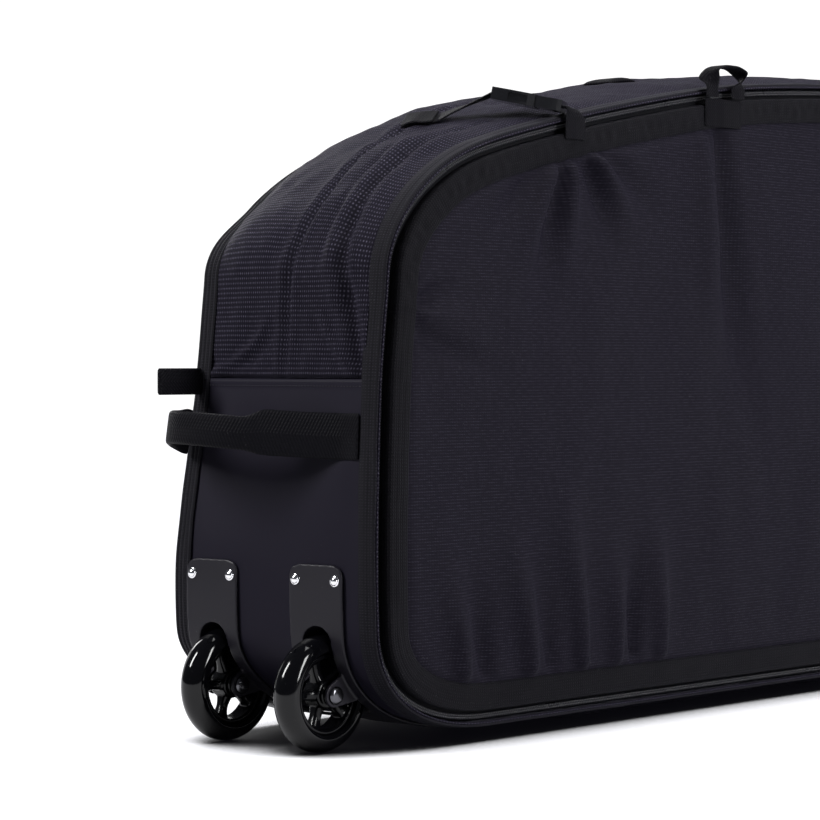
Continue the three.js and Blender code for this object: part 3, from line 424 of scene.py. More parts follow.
def stitches(name, lines, long=2.2 * MM, pitch=3.2 * MM, thick=0.55 * MM):
    """Rows of thread stitches. Each line is points and outward directions along a seam."""
    verts, faces = [], []
    for points, outs in lines:
        points, outs = np.asarray(points), np.asarray(outs)
        run = np.concatenate([[0], np.cumsum(np.linalg.norm(np.diff(points, axis=0), axis=1))])
        at = np.arange(pitch / 2, run[-1], pitch)
        middle = np.stack([np.interp(at, run, points[:, k]) for k in range(3)], 1)
        ahead = np.stack([np.interp(at + pitch / 4, run, points[:, k]) for k in range(3)], 1) - middle
        ahead /= np.linalg.norm(ahead, axis=1)[:, None] + 1e-12
        up = np.stack([np.interp(at, run, outs[:, k]) for k in range(3)], 1)
        side = np.cross(up, ahead)
        for m, a, u, w in zip(middle, ahead * long / 2, up * thick / 2, side * thick / 2):
            base = len(verts)
            for share, size in ((-1, 0.25), (-0.55, 1), (0.55, 1), (1, 0.25)):
                verts += [m + a * share + u * size, m + a * share + w * size,
                          m + a * share - u * size, m + a * share - w * size]
            for ring in range(3):
                b = base + 4 * ring
                faces += [(b + k, b + (k + 1) % 4, b + 4 + (k + 1) % 4, b + 4 + k) for k in range(4)]
            faces += [(base, base + 3, base + 2, base + 1), (base + 12, base + 13, base + 14, base + 15)]
    made = make_mesh(name, verts, faces, material="thread")
    settle(made, [])


def settle(piece, nodes, body="bag"):
    """Says which CAD nodes the piece stands for and the body that it moves with."""
    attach(piece, body)
    if nodes:
        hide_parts(*nodes)


# Sizes and colours that a user may change


class BoardBagSizes(bpy.types.PropertyGroup):
    """Sizes of the bag in metres."""

    length: FloatProperty(name="Length", description="Tail to nose of the edge seam", default=2.0,
                          unit="LENGTH")
    height: FloatProperty(name="Height", description="Floor to the highest edge seam",
                          default=SEAM_HIGH.z, unit="LENGTH")
    seam_lift: FloatProperty(name="Seam lift", description="Floor to the lowest edge seam",
                             default=SEAM_LOW.z, unit="LENGTH")
    tail_lean: FloatProperty(name="Tail lean", description="How far the back corner of the tail leans out",
                             default=20 * MM, unit="LENGTH")
    back_rise: FloatProperty(name="Back rise", description="How much higher the back panel's top edge is",
                             default=4 * MM, unit="LENGTH")
    padding: FloatProperty(name="Padding", description="Thickness of the padded side wall",
                           default=4 * MM, unit="LENGTH")
    lid_swell: FloatProperty(name="Lid swell", description="How far the lid bulges out of its edge",
                             default=9 * MM, unit="LENGTH")
    fold_strength: FloatProperty(name="Folds", description="Strength of the lid's folds and gathers",
                                 default=1.35, min=0.0, max=2.0)
    handle_wide: FloatProperty(name="Handle width", description="Width of the end handle's webbing",
                               default=35 * MM, unit="LENGTH")
    strap_wide: FloatProperty(name="Strap width", description="Width of the top strap's webbing",
                              default=25 * MM, unit="LENGTH")
    dot_pitch: FloatProperty(name="Dot pitch", description="Spacing of the heavy weave's dots",
                             default=2.2 * MM, unit="LENGTH")
    row_pitch: FloatProperty(name="Row pitch", description="Spacing of the heavy weave's rows",
                             default=3.7 * MM, unit="LENGTH")
    rib_pitch: FloatProperty(name="Rib pitch", description="Spacing of the lid cloth's ribs",
                             default=2.4 * MM, unit="LENGTH")


def colour(name, description, value):
    return FloatVectorProperty(name=name, description=description, default=value, subtype="COLOR",
                               size=3, min=0, max=1)


class BoardBagColours(bpy.types.PropertyGroup):
    """Base colours of the bag, linear."""

    ripstop: colour("Ripstop", "Thin lid cloth", (0.0056, 0.0046, 0.0094))
    weave: colour("Weave", "Heavy cloth of the side wall", (0.0085, 0.0072, 0.0135))
    coated: colour("Coated cloth", "Smooth tail panel", (0.0100, 0.0084, 0.0165))
    binding: colour("Binding", "Edge tape", (0.0045, 0.0042, 0.0064))
    flap: colour("Flap", "Padded flap over the zip", (0.0014, 0.0012, 0.0024))
    webbing: colour("Webbing", "Straps, loops and handle", (0.0012, 0.0011, 0.0024))
    plate: colour("Housing", "Moulded wheel housings", (0.0120, 0.0108, 0.0160))
    wheel: colour("Wheel", "Glossy urethane", (0.0020, 0.0020, 0.0028))
    steel: colour("Steel", "Rivets and axle bolts", (0.78, 0.78, 0.80))
    floor: colour("Floor", "Pale studio floor", (0.86, 0.86, 0.89))


def sizes():
    return bpy.context.scene.board_bag_sizes


def outline():
    return BagOutline(sizes())


# Shader groups and materials


def plug(tree, value, socket):
    if isinstance(value, bpy.types.NodeSocket):
        tree.links.new(value, socket)
    else:
        socket.default_value = value


def calc(tree, operation, *values):
    node = tree.nodes.new("ShaderNodeMath")
    node.operation = operation
    for value, socket in zip(values, node.inputs):
        plug(tree, value, socket)
    return node.outputs[0]


def blend_colour(tree, share, first, second, mode="MIX"):
    node = tree.nodes.new("ShaderNodeMix")
    node.data_type = "RGBA"
    node.blend_type = mode
    plug(tree, share, node.inputs["Factor"])
    plug(tree, first, node.inputs[6])
    plug(tree, second, node.inputs[7])
    return node.outputs[2]


def noise(tree, place, scale, detail=3.0, rough=0.55):
    node = tree.nodes.new("ShaderNodeTexNoise")
    plug(tree, place, node.inputs["Vector"])
    plug(tree, scale, node.inputs["Scale"])
    node.inputs["Detail"].default_value = detail
    node.inputs["Roughness"].default_value = rough
    return node.outputs["Fac"]


def new_group(name, inputs, outputs):
    tree = bpy.data.node_groups.new(name, "ShaderNodeTree")
    for label, kind, value in inputs:
        socket = tree.interface.new_socket(label, in_out="INPUT", socket_type=kind)
        if value is not None:
            socket.default_value = value
    for label, kind in outputs:
        tree.interface.new_socket(label, in_out="OUTPUT", socket_type=kind)
    start = tree.nodes.new("NodeGroupInput")
    end = tree.nodes.new("NodeGroupOutput")
    return tree, start.outputs, end.inputs


FLOAT, COLOUR, VECTOR = "NodeSocketFloat", "NodeSocketColor", "NodeSocketVector"


def weave_group():
    """Raised threads of a ripstop or dotted weave, from the place on the cloth."""
    tree, given, made = new_group("woven_grid", [
        ("Cloth", VECTOR, None), ("Along Pitch", FLOAT, 0.003), ("Across Pitch", FLOAT, 0.003),
        ("Dots", FLOAT, 0.5), ("Sharpness", FLOAT, 2.0), ("Fine Thread", FLOAT, 0.0006),
        ("Breaks", FLOAT, 0.0),
    ], [("Crown", FLOAT), ("Thread", FLOAT)])
    parts = tree.nodes.new("ShaderNodeSeparateXYZ")
    tree.links.new(given["Cloth"], parts.inputs[0])
    swing = {}
    for axis, pitch in (("X", "Along Pitch"), ("Y", "Across Pitch")):
        turn = calc(tree, "MULTIPLY", calc(tree, "DIVIDE", parts.outputs[axis], given[pitch]), math.tau)
        swing[axis] = calc(tree, "COSINE", turn)
        fine = calc(tree, "MULTIPLY", calc(tree, "DIVIDE", parts.outputs[axis], given["Fine Thread"]),
                    math.tau)
        swing[axis + "fine"] = calc(tree, "COSINE", fine)
    ribs = calc(tree, "MULTIPLY_ADD", swing["Y"], 0.5, 0.5)
    rows = calc(tree, "MULTIPLY_ADD", swing["X"], 0.5, 0.5)
    dots = calc(tree, "MULTIPLY", rows, calc(tree, "MULTIPLY_ADD", swing["Y"], 0.45, 0.55))
    mixed = tree.nodes.new("ShaderNodeMix")
    plug(tree, given["Dots"], mixed.inputs[0])
    plug(tree, ribs, mixed.inputs[2])
    plug(tree, dots, mixed.inputs[3])
    stretched = tree.nodes.new("ShaderNodeVectorMath")
    stretched.operation = "MULTIPLY"
    plug(tree, given["Cloth"], stretched.inputs[0])
    stretched.inputs[1].default_value = (150, 420, 1)
    kept = tree.nodes.new("ShaderNodeMapRange")
    kept.inputs["From Min"].default_value = 0.42
    kept.inputs["From Max"].default_value = 0.58
    plug(tree, noise(tree, stretched.outputs[0], 1.0, 1.0), kept.inputs["Value"])
    shown = tree.nodes.new("ShaderNodeMix")
    plug(tree, given["Breaks"], shown.inputs[0])
    shown.inputs[2].default_value = 1.0
    plug(tree, kept.outputs[0], shown.inputs[3])
    crown = calc(tree, "POWER", mixed.outputs[0], given["Sharpness"])
    plug(tree, calc(tree, "MULTIPLY", crown, shown.outputs[0]), made["Crown"])
    thread = calc(tree, "MULTIPLY", swing["Xfine"], swing["Yfine"])
    plug(tree, calc(tree, "MULTIPLY_ADD", thread, 0.5, 0.5), made["Thread"])


def webbing_group():
    """Slanting ribs of woven tape, mirrored about its middle, and its selvedges."""
    tree, given, made = new_group("tape_weave", [
        ("Cloth", VECTOR, None), ("Pitch", FLOAT, 0.0024), ("Slant", FLOAT, 1.0),
        ("Half Width", FLOAT, 0.0125),
    ], [("Rib", FLOAT), ("Selvedge", FLOAT)])
    parts = tree.nodes.new("ShaderNodeSeparateXYZ")
    tree.links.new(given["Cloth"], parts.inputs[0])
    side = calc(tree, "ABSOLUTE", parts.outputs["Y"])
    slant = calc(tree, "MULTIPLY_ADD", side, given["Slant"], parts.outputs["X"])
    turn = calc(tree, "MULTIPLY", calc(tree, "DIVIDE", slant, given["Pitch"]), math.tau)
    rib = calc(tree, "MULTIPLY_ADD", calc(tree, "COSINE", turn), 0.5, 0.5)
    warp = calc(tree, "MULTIPLY", calc(tree, "DIVIDE", parts.outputs["Y"], given["Pitch"]), math.tau)
    warp = calc(tree, "MULTIPLY_ADD", calc(tree, "COSINE", warp), 0.5, 0.5)
    plug(tree, calc(tree, "MULTIPLY", rib, calc(tree, "MULTIPLY_ADD", warp, 0.5, 0.5)), made["Rib"])
    edge = calc(tree, "DIVIDE", side, given["Half Width"])
    plug(tree, calc(tree, "SMOOTH_MIN", calc(tree, "POWER", edge, 14.0), 1.0, 0.1), made["Selvedge"])


def dust_and_glint_group():
    """Colour and roughness of a surface: a painted glint colour on the thread crowns, slow unevenness and
    specks of dust.
    """
    tree, given, made = new_group("dust_and_glint_surface", [
        ("Place", VECTOR, None), ("Base Color", COLOUR, (0.01, 0.01, 0.01, 1)),
        ("Crown Color", COLOUR, (0.05, 0.05, 0.06, 1)), ("Crown", FLOAT, 0.0), ("Unevenness", FLOAT, 0.25),
        ("Patch Scale", FLOAT, 9.0), ("Dust", FLOAT, 0.15), ("Roughness", FLOAT, 0.7),
    ], [("Color", COLOUR), ("Roughness", FLOAT)])
    slow = noise(tree, given["Place"], given["Patch Scale"], 4.0)
    shade = calc(tree, "MULTIPLY_ADD", calc(tree, "SUBTRACT", slow, 0.5), given["Unevenness"], 1.0)
    base = tree.nodes.new("ShaderNodeVectorMath")
    base.operation = "SCALE"
    plug(tree, given["Base Color"], base.inputs[0])
    plug(tree, shade, base.inputs["Scale"])
    # Painted glints: the thread crowns take a lighter colour that stands in for their highlights.
    with_crown_glints = blend_colour(tree, given["Crown"], base.outputs[0], given["Crown Color"])
    speck = tree.nodes.new("ShaderNodeTexVoronoi")
    plug(tree, given["Place"], speck.inputs["Vector"])
    speck.inputs["Scale"].default_value = 160.0
    near = calc(tree, "LESS_THAN", speck.outputs["Distance"], 0.075)
    few = calc(tree, "GREATER_THAN", noise(tree, given["Place"], 14.0, 2.0), 0.56)
    dust = calc(tree, "MULTIPLY", calc(tree, "MULTIPLY", near, few), given["Dust"])
    plug(tree, blend_colour(tree, dust, with_crown_glints, (0.32, 0.31, 0.33, 1)), made["Color"])
    rough = calc(tree, "MULTIPLY_ADD", calc(tree, "SUBTRACT", slow, 0.5), 0.18, given["Roughness"])
    plug(tree, rough, made["Roughness"])


def grain_group():
    """Height of a fine moulded or pebbled grain."""
    tree, given, made = new_group("fine_grain", [
        ("Place", VECTOR, None), ("Grain Scale", FLOAT, 900.0), ("Pebble", FLOAT, 0.5),
    ], [("Height", FLOAT)])
    soft = noise(tree, given["Place"], given["Grain Scale"], 2.0)
    cell = tree.nodes.new("ShaderNodeTexVoronoi")
    cell.feature = "SMOOTH_F1"
    plug(tree, given["Place"], cell.inputs["Vector"])
    plug(tree, given["Grain Scale"], cell.inputs["Scale"])
    mixed = tree.nodes.new("ShaderNodeMix")
    plug(tree, given["Pebble"], mixed.inputs[0])
    plug(tree, soft, mixed.inputs[2])
    plug(tree, cell.outputs["Distance"], mixed.inputs[3])
    plug(tree, mixed.outputs[0], made["Height"])


def use_group(tree, name, **values):
    node = tree.nodes.new("ShaderNodeGroup")
    node.node_tree = bpy.data.node_groups[name]
    for key, value in values.items():
        plug(tree, value, node.inputs[key.replace("_", " ")])
    return node.outputs


def rgba(value, strength=1.0):
    return (value[0] * strength, value[1] * strength, value[2] * strength, 1.0)


def new_material(name, **constants):
    """A material with a Principled shader; constants sit on the shader's own sockets."""
    material = bpy.data.materials.new(name)
    material.use_nodes = True
    tree = material.node_tree
    shader = tree.nodes["Principled BSDF"]
    for key, value in constants.items():
        shader.inputs[key.replace("_", " ")].default_value = value
    return tree, shader


def cloth_place(tree):
    node = tree.nodes.new("ShaderNodeUVMap")
    node.uv_map = "cloth"
    return node.outputs[0]


def body_place(tree):
    return tree.nodes.new("ShaderNodeTexCoord").outputs["Object"]


def raise_surface(tree, shader, height, distance):
    bump = tree.nodes.new("ShaderNodeBump")
    bump.inputs["Distance"].default_value = distance
    plug(tree, height, bump.inputs["Height"])
    tree.links.new(bump.outputs[0], shader.inputs["Normal"])


def woven_material(name, base, crown, along, across, dots, sharp, rough, sheen, rise, **look):
    tree, shader = new_material(name, Sheen_Weight=sheen, Sheen_Roughness=0.45,
                                Specular_IOR_Level=look.get("specular", 0.10))
    shader.inputs["Sheen Tint"].default_value = (0.80, 0.78, 1.0, 1.0)
    weave = use_group(tree, "woven_grid", Cloth=cloth_place(tree), Along_Pitch=along, Across_Pitch=across,
                      Dots=dots, Sharpness=sharp, Breaks=look.get("breaks", 0.0))
    # crown is a painted glint colour: the thread crowns get a lighter colour that stands in for their
    # highlights, in the share given by show.
    shown = calc(tree, "MULTIPLY", weave["Crown"], look.get("show", 0.8))
    skin = use_group(tree, "dust_and_glint_surface", Place=body_place(tree), Base_Color=rgba(base),
                     Crown_Color=rgba(crown), Crown=shown, Roughness=rough, Dust=look.get("dust", 0.12))
    tree.links.new(skin["Color"], shader.inputs["Base Color"])
    tree.links.new(skin["Roughness"], shader.inputs["Roughness"])
    height = calc(tree, "MULTIPLY_ADD", weave["Thread"], 0.25, weave["Crown"])
    raise_surface(tree, shader, height, rise)


def tape_material(name, base, crown, pitch, slant, half, rough, rise):
    tree, shader = new_material(name, Sheen_Weight=0.01, Sheen_Roughness=0.4, Specular_IOR_Level=0.07)
    weave = use_group(tree, "tape_weave", Cloth=cloth_place(tree), Pitch=pitch, Slant=slant, Half_Width=half)
    # crown is a painted glint colour on the tape's ribs, standing in for their highlights.
    skin = use_group(tree, "dust_and_glint_surface", Place=body_place(tree), Base_Color=rgba(base),
                     Crown_Color=rgba(crown), Crown=calc(tree, "MULTIPLY", weave["Rib"], 0.5),
                     Roughness=rough, Dust=0.08)
    tree.links.new(skin["Color"], shader.inputs["Base Color"])
    tree.links.new(skin["Roughness"], shader.inputs["Roughness"])
    raise_surface(tree, shader, calc(tree, "ADD", weave["Rib"], weave["Selvedge"]), rise)


def solid_material(name, base, rough, grain=900.0, rise=0.00003, pebble=0.0, dust=0.08, **constants):
    tree, shader = new_material(name, **constants)
    place = body_place(tree)
    skin = use_group(tree, "dust_and_glint_surface", Place=place, Base_Color=rgba(base), Crown=0.0,
                     Roughness=rough, Dust=dust, Patch_Scale=22.0)
    tree.links.new(skin["Color"], shader.inputs["Base Color"])
    tree.links.new(skin["Roughness"], shader.inputs["Roughness"])
    grained = use_group(tree, "fine_grain", Place=place, Grain_Scale=grain, Pebble=pebble)
    raise_surface(tree, shader, grained["Height"], rise)


def make_materials():
    c, z = bpy.context.scene.board_bag_colours, sizes()
    weave_group()
    webbing_group()
    dust_and_glint_group()
    grain_group()
    # The second colour of each cloth and tape is a painted glint on its thread crowns or ribs, lighter than its
    # base colour.
    woven_material("lid_ripstop", c.ripstop, (0.042, 0.038, 0.057), 1.1 * z.rib_pitch, z.rib_pitch, 0.3, 2.6,
                   0.62, 0.012, 0.0004, show=0.6, specular=0.07, breaks=0.7)
    woven_material("side_weave", c.weave, (0.125, 0.115, 0.165), z.row_pitch, z.dot_pitch, 1.0, 2.6,
                   0.72, 0.008, 0.0006, show=0.95, specular=0.06, breaks=0.45)
    woven_material("tail_coating", c.coated, (0.017, 0.0155, 0.025), 0.0009, 0.0009, 1.0, 1.5,
                   0.50, 0.015, 0.00002, show=0.3, specular=0.09, dust=0.05)
    woven_material("binding_tape", c.binding, (0.034, 0.031, 0.044), 0.0022, 0.0028, 1.0, 2.5,
                   0.66, 0.03, 0.0003, show=0.6)
    woven_material("flap_cloth", c.flap, (0.009, 0.0085, 0.012), 0.0026, 0.0023, 0.8, 2.0,
                   0.72, 0.03, 0.0005, show=0.55)
    woven_material("zip_cloth", (0.0015, 0.0015, 0.0025), (0.006, 0.006, 0.009), 0.0016, 0.0016, 0.5, 2.0,
                   0.7, 0.01, 0.0002)
    tape_material("black_webbing", c.webbing, (0.010, 0.009, 0.013), 0.0030, 1.0, 0.5 * z.strap_wide,
                  0.62, 0.00035)
    tape_material("handle_webbing", c.webbing, (0.006, 0.0055, 0.009), 0.0026, 0.45, 0.5 * z.handle_wide,
                  0.60, 0.0004)
    solid_material("thread", (0.030, 0.028, 0.038), 0.5, Specular_IOR_Level=0.3)
    solid_material("zip_coil", (0.022, 0.022, 0.027), 0.3, dust=0.3, Specular_IOR_Level=0.6)
    solid_material("plated_zip", (0.16, 0.16, 0.17), 0.32, Metallic=0.9)
    solid_material("moulded_buckle", (0.006, 0.006, 0.0075), 0.14, rise=0.00001, Specular_IOR_Level=0.9)
    solid_material("moulded_housing", c.plate, 0.42, grain=1500.0, rise=0.00003, pebble=0.6,
                   Specular_IOR_Level=0.22)
    solid_material("wheel_gloss", c.wheel, 0.08, grain=60.0, rise=0.00002, dust=0.02, Specular_IOR_Level=0.28)
    solid_material("hub_gloss", c.wheel, 0.18, grain=300.0, rise=0.00002, dust=0.02, Specular_IOR_Level=0.2)
    solid_material("axle_steel", (0.10, 0.10, 0.11), 0.2, grain=400.0, rise=0.00001, dust=0.0, Metallic=1.0)
    solid_material("polished_steel", c.steel, 0.12, grain=400.0, rise=0.00001, dust=0.0, Metallic=1.0)


# Side walls

# Creases of the side wall: places as (s from the tail seam, share of the width) in metres and
# shares, the depth and the width in millimetres.
WALL_CREASES = (
    {"name": "middle", "depth": 4.5, "wide": 3.2, "bank": 0.5, "fade": (0.03, 0.14),
     "way": ((0.0, 0.50), (0.07, 0.49), (0.13, 0.46), (0.20, 0.48), (0.30, 0.56), (0.42, 0.66))},
    {"name": "lid_side", "depth": 6.0, "wide": 5.5, "bank": 0.5, "fade": (0.04, 0.12),
     "way": ((0.0, 0.02), (0.05, 0.10), (0.10, 0.17), (0.16, 0.20), (0.24, 0.20), (0.33, 0.16))},
    {"name": "inner_groove", "depth": 3.0, "wide": 4, "bank": 0.4, "fade": (0.05, 0.08),
     "way": ((0.09, 0.30), (0.14, 0.31), (0.20, 0.33), (0.28, 0.36))},
    {"name": "back_pucker", "depth": -2.4, "wide": 3.5, "bank": 0.6, "fade": (0.01, 0.03),
     "way": ((0.002, 0.99), (0.012, 0.84), (0.030, 0.68), (0.055, 0.60))},
    {"name": "back_pucker_low", "depth": -1.6, "wide": 3, "bank": 0.5, "fade": (0.01, 0.02),
     "way": ((0.002, 0.92), (0.006, 0.78), (0.010, 0.64))},
    {"name": "front_pucker", "depth": -2.4, "wide": 3.5, "bank": 0.6, "fade": (0.01, 0.03),
     "way": ((0.003, 0.03), (0.015, 0.14), (0.038, 0.25), (0.062, 0.33))},
    {"name": "front_pucker_low", "depth": -1.6, "wide": 3, "bank": 0.5, "fade": (0.01, 0.02),
     "way": ((0.002, 0.08), (0.006, 0.20), (0.012, 0.32))},
)
# The wall rolls over the back binding at the shoulder: where along the seam, and where across.
ROLL = {"start": (0.07, 0.14), "end": (0.34, 0.46), "across": (0.45, 0.8), "high": 6 * MM}


def crease_depth(s, y, crease, wall_wide):
    """How deep a crease is at places of the wall given by s and by y across it, in metres."""
    way = smooth_rows(crease["way"], 60)
    way_s, way_y = way[:, 0], way[:, 1] * wall_wide
    nearest = np.full(s.shape, np.inf)
    along = np.zeros(s.shape)
    run = np.concatenate([[0], np.cumsum(np.hypot(np.diff(way_s), np.diff(way_y)))])
    for k in range(len(run)):
        apart = np.hypot(s - way_s[k], y - way_y[k])
        closer = apart < nearest
        nearest = np.where(closer, apart, nearest)
        along = np.where(closer, run[k], along)
    fade_in, fade_out = crease["fade"]
    fade = np.clip(along / fade_in + 0.35, 0, 1) * np.clip((run[-1] - along) / fade_out, 0, 1)
    wide = crease["wide"] * MM
    valley = np.exp(-((nearest / wide) ** 1.25))
    banks = crease["bank"] * np.exp(-(((nearest - 2.2 * wide) / (1.5 * wide)) ** 2))
    return crease["depth"] * MM * fade * (valley - banks)


def wall_relief(shape, s, wide, flat_bottom=False):
    """How far the side wall stands out of the surface between its two seams."""
    wall_wide = BACK_EDGE_Y - LID_EDGE_Y
    y = wide * wall_wide
    arch = np.sin(math.pi * wide)
    if flat_bottom:
        arch = np.minimum(1, 1.6 * arch)
    else:
        arch = 0.4 * arch + 0.6 * (1 - np.abs(2 * wide - 1) ** 4)
    lift = shape.pick(s, shape.swells) * arch
    if not flat_bottom:
        roll = ramp(s, *ROLL["start"]) * (1 - ramp(s, *ROLL["end"])) * ramp(wide, *ROLL["across"])
        lift = lift + ROLL["high"] * roll * (1 - np.abs(2 * wide - 1) ** 14)
        for crease in WALL_CREASES:
            lift = lift - crease_depth(s, y, crease, wall_wide)
    slack = np.clip(arch * 2.2, 0, 1)
    size = 1.6 * MM if not flat_bottom else 0.5 * MM
    return lift + slack * size * waves(11, s, y, 0.09) + slack * 0.35 * size * waves(12, s, y, 0.03)


def side_wall(name, node, start, end, columns, material, flat_bottom=False):
    shape = outline()
    s = shape.stations(start, end, FINE_STEP, COARSE_STEP)
    s = np.append(s, end)
    wide = 0.5 - 0.5 * np.cos(np.linspace(0.14, math.pi - 0.14, columns))
    wide = (wide - wide[0]) / (wide[-1] - wide[0])
    s, wide = np.meshgrid(s, wide, indexing="ij")
    lift = wall_relief(shape, s, wide, flat_bottom)
    outer = shape.wall(s, wide, lift)
    inner = shape.wall(s, wide, lift - sizes().padding)
    made = two_skins(name, outer, inner, s, wide * (BACK_EDGE_Y - LID_EDGE_Y), material)
    settle(made, [node])


class BOARDBAG_OT_side_walls(bpy.types.Operator):
    """Makes the padded side wall over the top and under the bag."""

    bl_idname = "boardbag.side_walls"
    bl_label = "Side walls"

    def execute(self, context):
        shape = outline()
        side_wall("upper_wall_cloth", "upper_side_wall", SEAM_GAP, shape.marks["nose_lower"] - SEAM_GAP, 62,
                  "side_weave")
        side_wall("lower_wall_cloth", "lower_side_wall", shape.marks["nose_lower"] + SEAM_GAP,
                  shape.marks["corner"] - SEAM_GAP, 34, "side_weave", flat_bottom=True)
        return {"FINISHED"}


# Tail panel and wheel housings

WHEELS = (
    {"side": "lid_side", "body": "wheel_lid_side"},
    {"side": "back_side", "body": "wheel_back_side"},
)
PLATE = {"wide": 50.8 * MM, "thick": 2.6 * MM, "top": 144 * MM, "foot": 92 * MM, "corner": 9 * MM}
WHEEL = {"room": 7 * MM, "well": 2 * MM, "side_room": 1.2 * MM, "well_deep": 42 * MM, "bore": 4 * MM}
LUG = {"thick": 3.2 * MM, "radius": 9.5 * MM, "long": 34 * MM, "root": 17 * MM, "tilt": 0.35}


def wheel_place(side):
    """Centre, radius and half width of a wheel, from its tyre's box."""
    low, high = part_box(f"wheel_tyre_{side}")
    centre = (low + high) / 2
    return centre, (high.z - low.z) / 2, (high.y - low.y) / 2


def wide_at(y):
    return (y - LID_EDGE_Y) / (BACK_EDGE_Y - LID_EDGE_Y)


def wheel_space(name, side, extra):
    """The rounded room that a wheel needs, with extra on every side."""
    centre, radius, half = wheel_place(side)
    outer = radius + WHEEL["room"] + extra
    half = half + WHEEL["side_room"] + extra
    turn = np.linspace(-math.pi / 2, math.pi / 2, 15)
    tread = [(outer - half + half * math.cos(a), half * math.sin(a)) for a in turn]
    return lathe(name, [(0.0, -half), *tread, (0.0, half)], 72, centre, None)


def axle_bore(centre, half):
    """A rod that cuts the axle's hole."""
    radius = WHEEL["bore"]
    return lathe("bore", [(0, -half), (radius, -half), (radius, half), (0, half)], 32, centre, None)


def refinish(piece, material):
    """Leaves a piece with one material, after bodies were joined into it."""
    piece.data.materials.clear()
    piece.data.materials.append(bpy.data.materials[material])


def lug_body(name, centre, low):
    """One axle arm from the wheel's centre into the corner of the bag."""
    tilt = LUG["tilt"]
    ahead = np.array([math.cos(tilt), math.sin(tilt)])
    side = np.array([-math.sin(tilt), math.cos(tilt)])
    turn = np.linspace(tilt + math.pi / 2, tilt + 3 * math.pi / 2, 15)
    ring = [np.array([math.cos(a), math.sin(a)]) * LUG["radius"] for a in turn]
    ring += [ahead * LUG["long"] - side * LUG["root"], ahead * LUG["long"] + side * LUG["root"]]
    ring = np.array(ring)
    count = len(ring)
    mesh = bpy.data.meshes.new(name)
    points = [(centre.x + x, centre.y + low + t, centre.z + z) for t in (0, LUG["thick"]) for x, z in ring]
    faces = [tuple(range(count)), tuple(range(2 * count - 1, count - 1, -1))]
    faces += [(i, i + count, (i + 1) % count + count, (i + 1) % count) for i in range(count)]
    mesh.from_pydata(points, [], faces)
    made = bpy.data.objects.new(name, mesh)
    bpy.context.scene.collection.objects.link(made)
    weld(made)
    return made


class BOARDBAG_OT_tail(bpy.types.Operator):
    """Makes the coated tail panel and the two moulded wheel housings."""

    bl_idname = "boardbag.tail"
    bl_label = "Tail panel and housings"

    def execute(self, context):
        shape = outline()
        start, end = shape.marks["corner"] + SEAM_GAP, shape.round - SEAM_GAP
        s = np.append(shape.stations(start, end, FINE_STEP, FINE_STEP), end)
        wide = np.linspace(0, 1, 58)
        panel = self.panel(shape, s, wide)
        for wheel in WHEELS:
            self.housing(shape, wheel["side"])
            hole = wheel_space("cut", wheel["side"], WHEEL["well"] + GAP)
            join_solids(panel, [hole], "DIFFERENCE")
        panel.data.polygons.foreach_set("use_smooth", np.ones(len(panel.data.polygons), bool))
        settle(panel, ["tail_panel"])
        return {"FINISHED"}

    def panel(self, shape, s, wide):
        s, wide = np.meshgrid(s, wide, indexing="ij")
        y = wide * (BACK_EDGE_Y - LID_EDGE_Y)
        edge = np.clip(np.minimum(wide, 1 - wide) * 9, 0, 1)
        from_seam = shape.round - s
        upper = np.clip(from_seam / 0.03, 0, 1) * ramp(from_seam, 0.19, 0.10)
        lift = edge * upper * 0.8 * MM * waves(21, s, y, 0.10)
        lift = lift + 0.9 * MM * bump_curve(from_seam, 3.2 * MM, 1.6 * MM)
        lift = lift + 0.5 * MM * bump_curve(from_seam, 0, 2 * MM)
        outer = shape.wall(s, wide, lift)
        inner = shape.wall(s, wide, lift - TAIL_CLOTH_THICK)
        return two_skins("tail_cloth", outer, inner, s, y, "tail_coating")

    def housing(self, shape, side):
        centre, _, half = wheel_place(side)
        foot = shape.at_x(shape.tail_x + PLATE["foot"], wide_at(centre.y), shape.marks["bottom_tail"],
                          shape.marks["tail_lower"])
        top = shape.at_height(PLATE["top"], wide_at(centre.y), shape.marks["tail_lower"], shape.round)
        half_wide = PLATE["wide"] / 2
        s = np.linspace(foot, top, 90)
        drop = np.clip(PLATE["corner"] - (top - s), 0, None)
        taper = PLATE["corner"] - np.sqrt(np.clip(PLATE["corner"] ** 2 - drop**2, 0, None))
        share = np.linspace(-1, 1, 25)
        y = centre.y + share[None, :] * (half_wide - taper)[:, None]
        wide = wide_at(y)
        long = np.broadcast_to(s[:, None], wide.shape)
        face = GAP + PLATE["thick"]
        front, seat = shape.wall(long, wide, face), shape.wall(long, wide, GAP)
        plate = two_skins(f"wheel_housing_{side}_moulding", front, seat, long, y, "moulded_housing")
        well = wheel_space("well", side, WHEEL["well"])
        inside = two_skins("inside", front, shape.wall(long, wide, -WHEEL["well_deep"]), long, y, None)
        join_solids(well, [inside], "INTERSECT")
        join_solids(plate, [well])
        lug_low = half + WHEEL["side_room"]
        for low in (lug_low, -lug_low - LUG["thick"]):
            join_solids(plate, [lug_body("lug", centre, low)])
        room = wheel_space("room", side, 0)
        bore = axle_bore(centre, 0.08)
        join_solids(plate, [room, bore], "DIFFERENCE")
        mould(plate, 0.9 * MM, 4)
        refinish(plate, "moulded_housing")
        settle(plate, [f"wheel_housing_{side}"])


# Wheels, axles and rivets


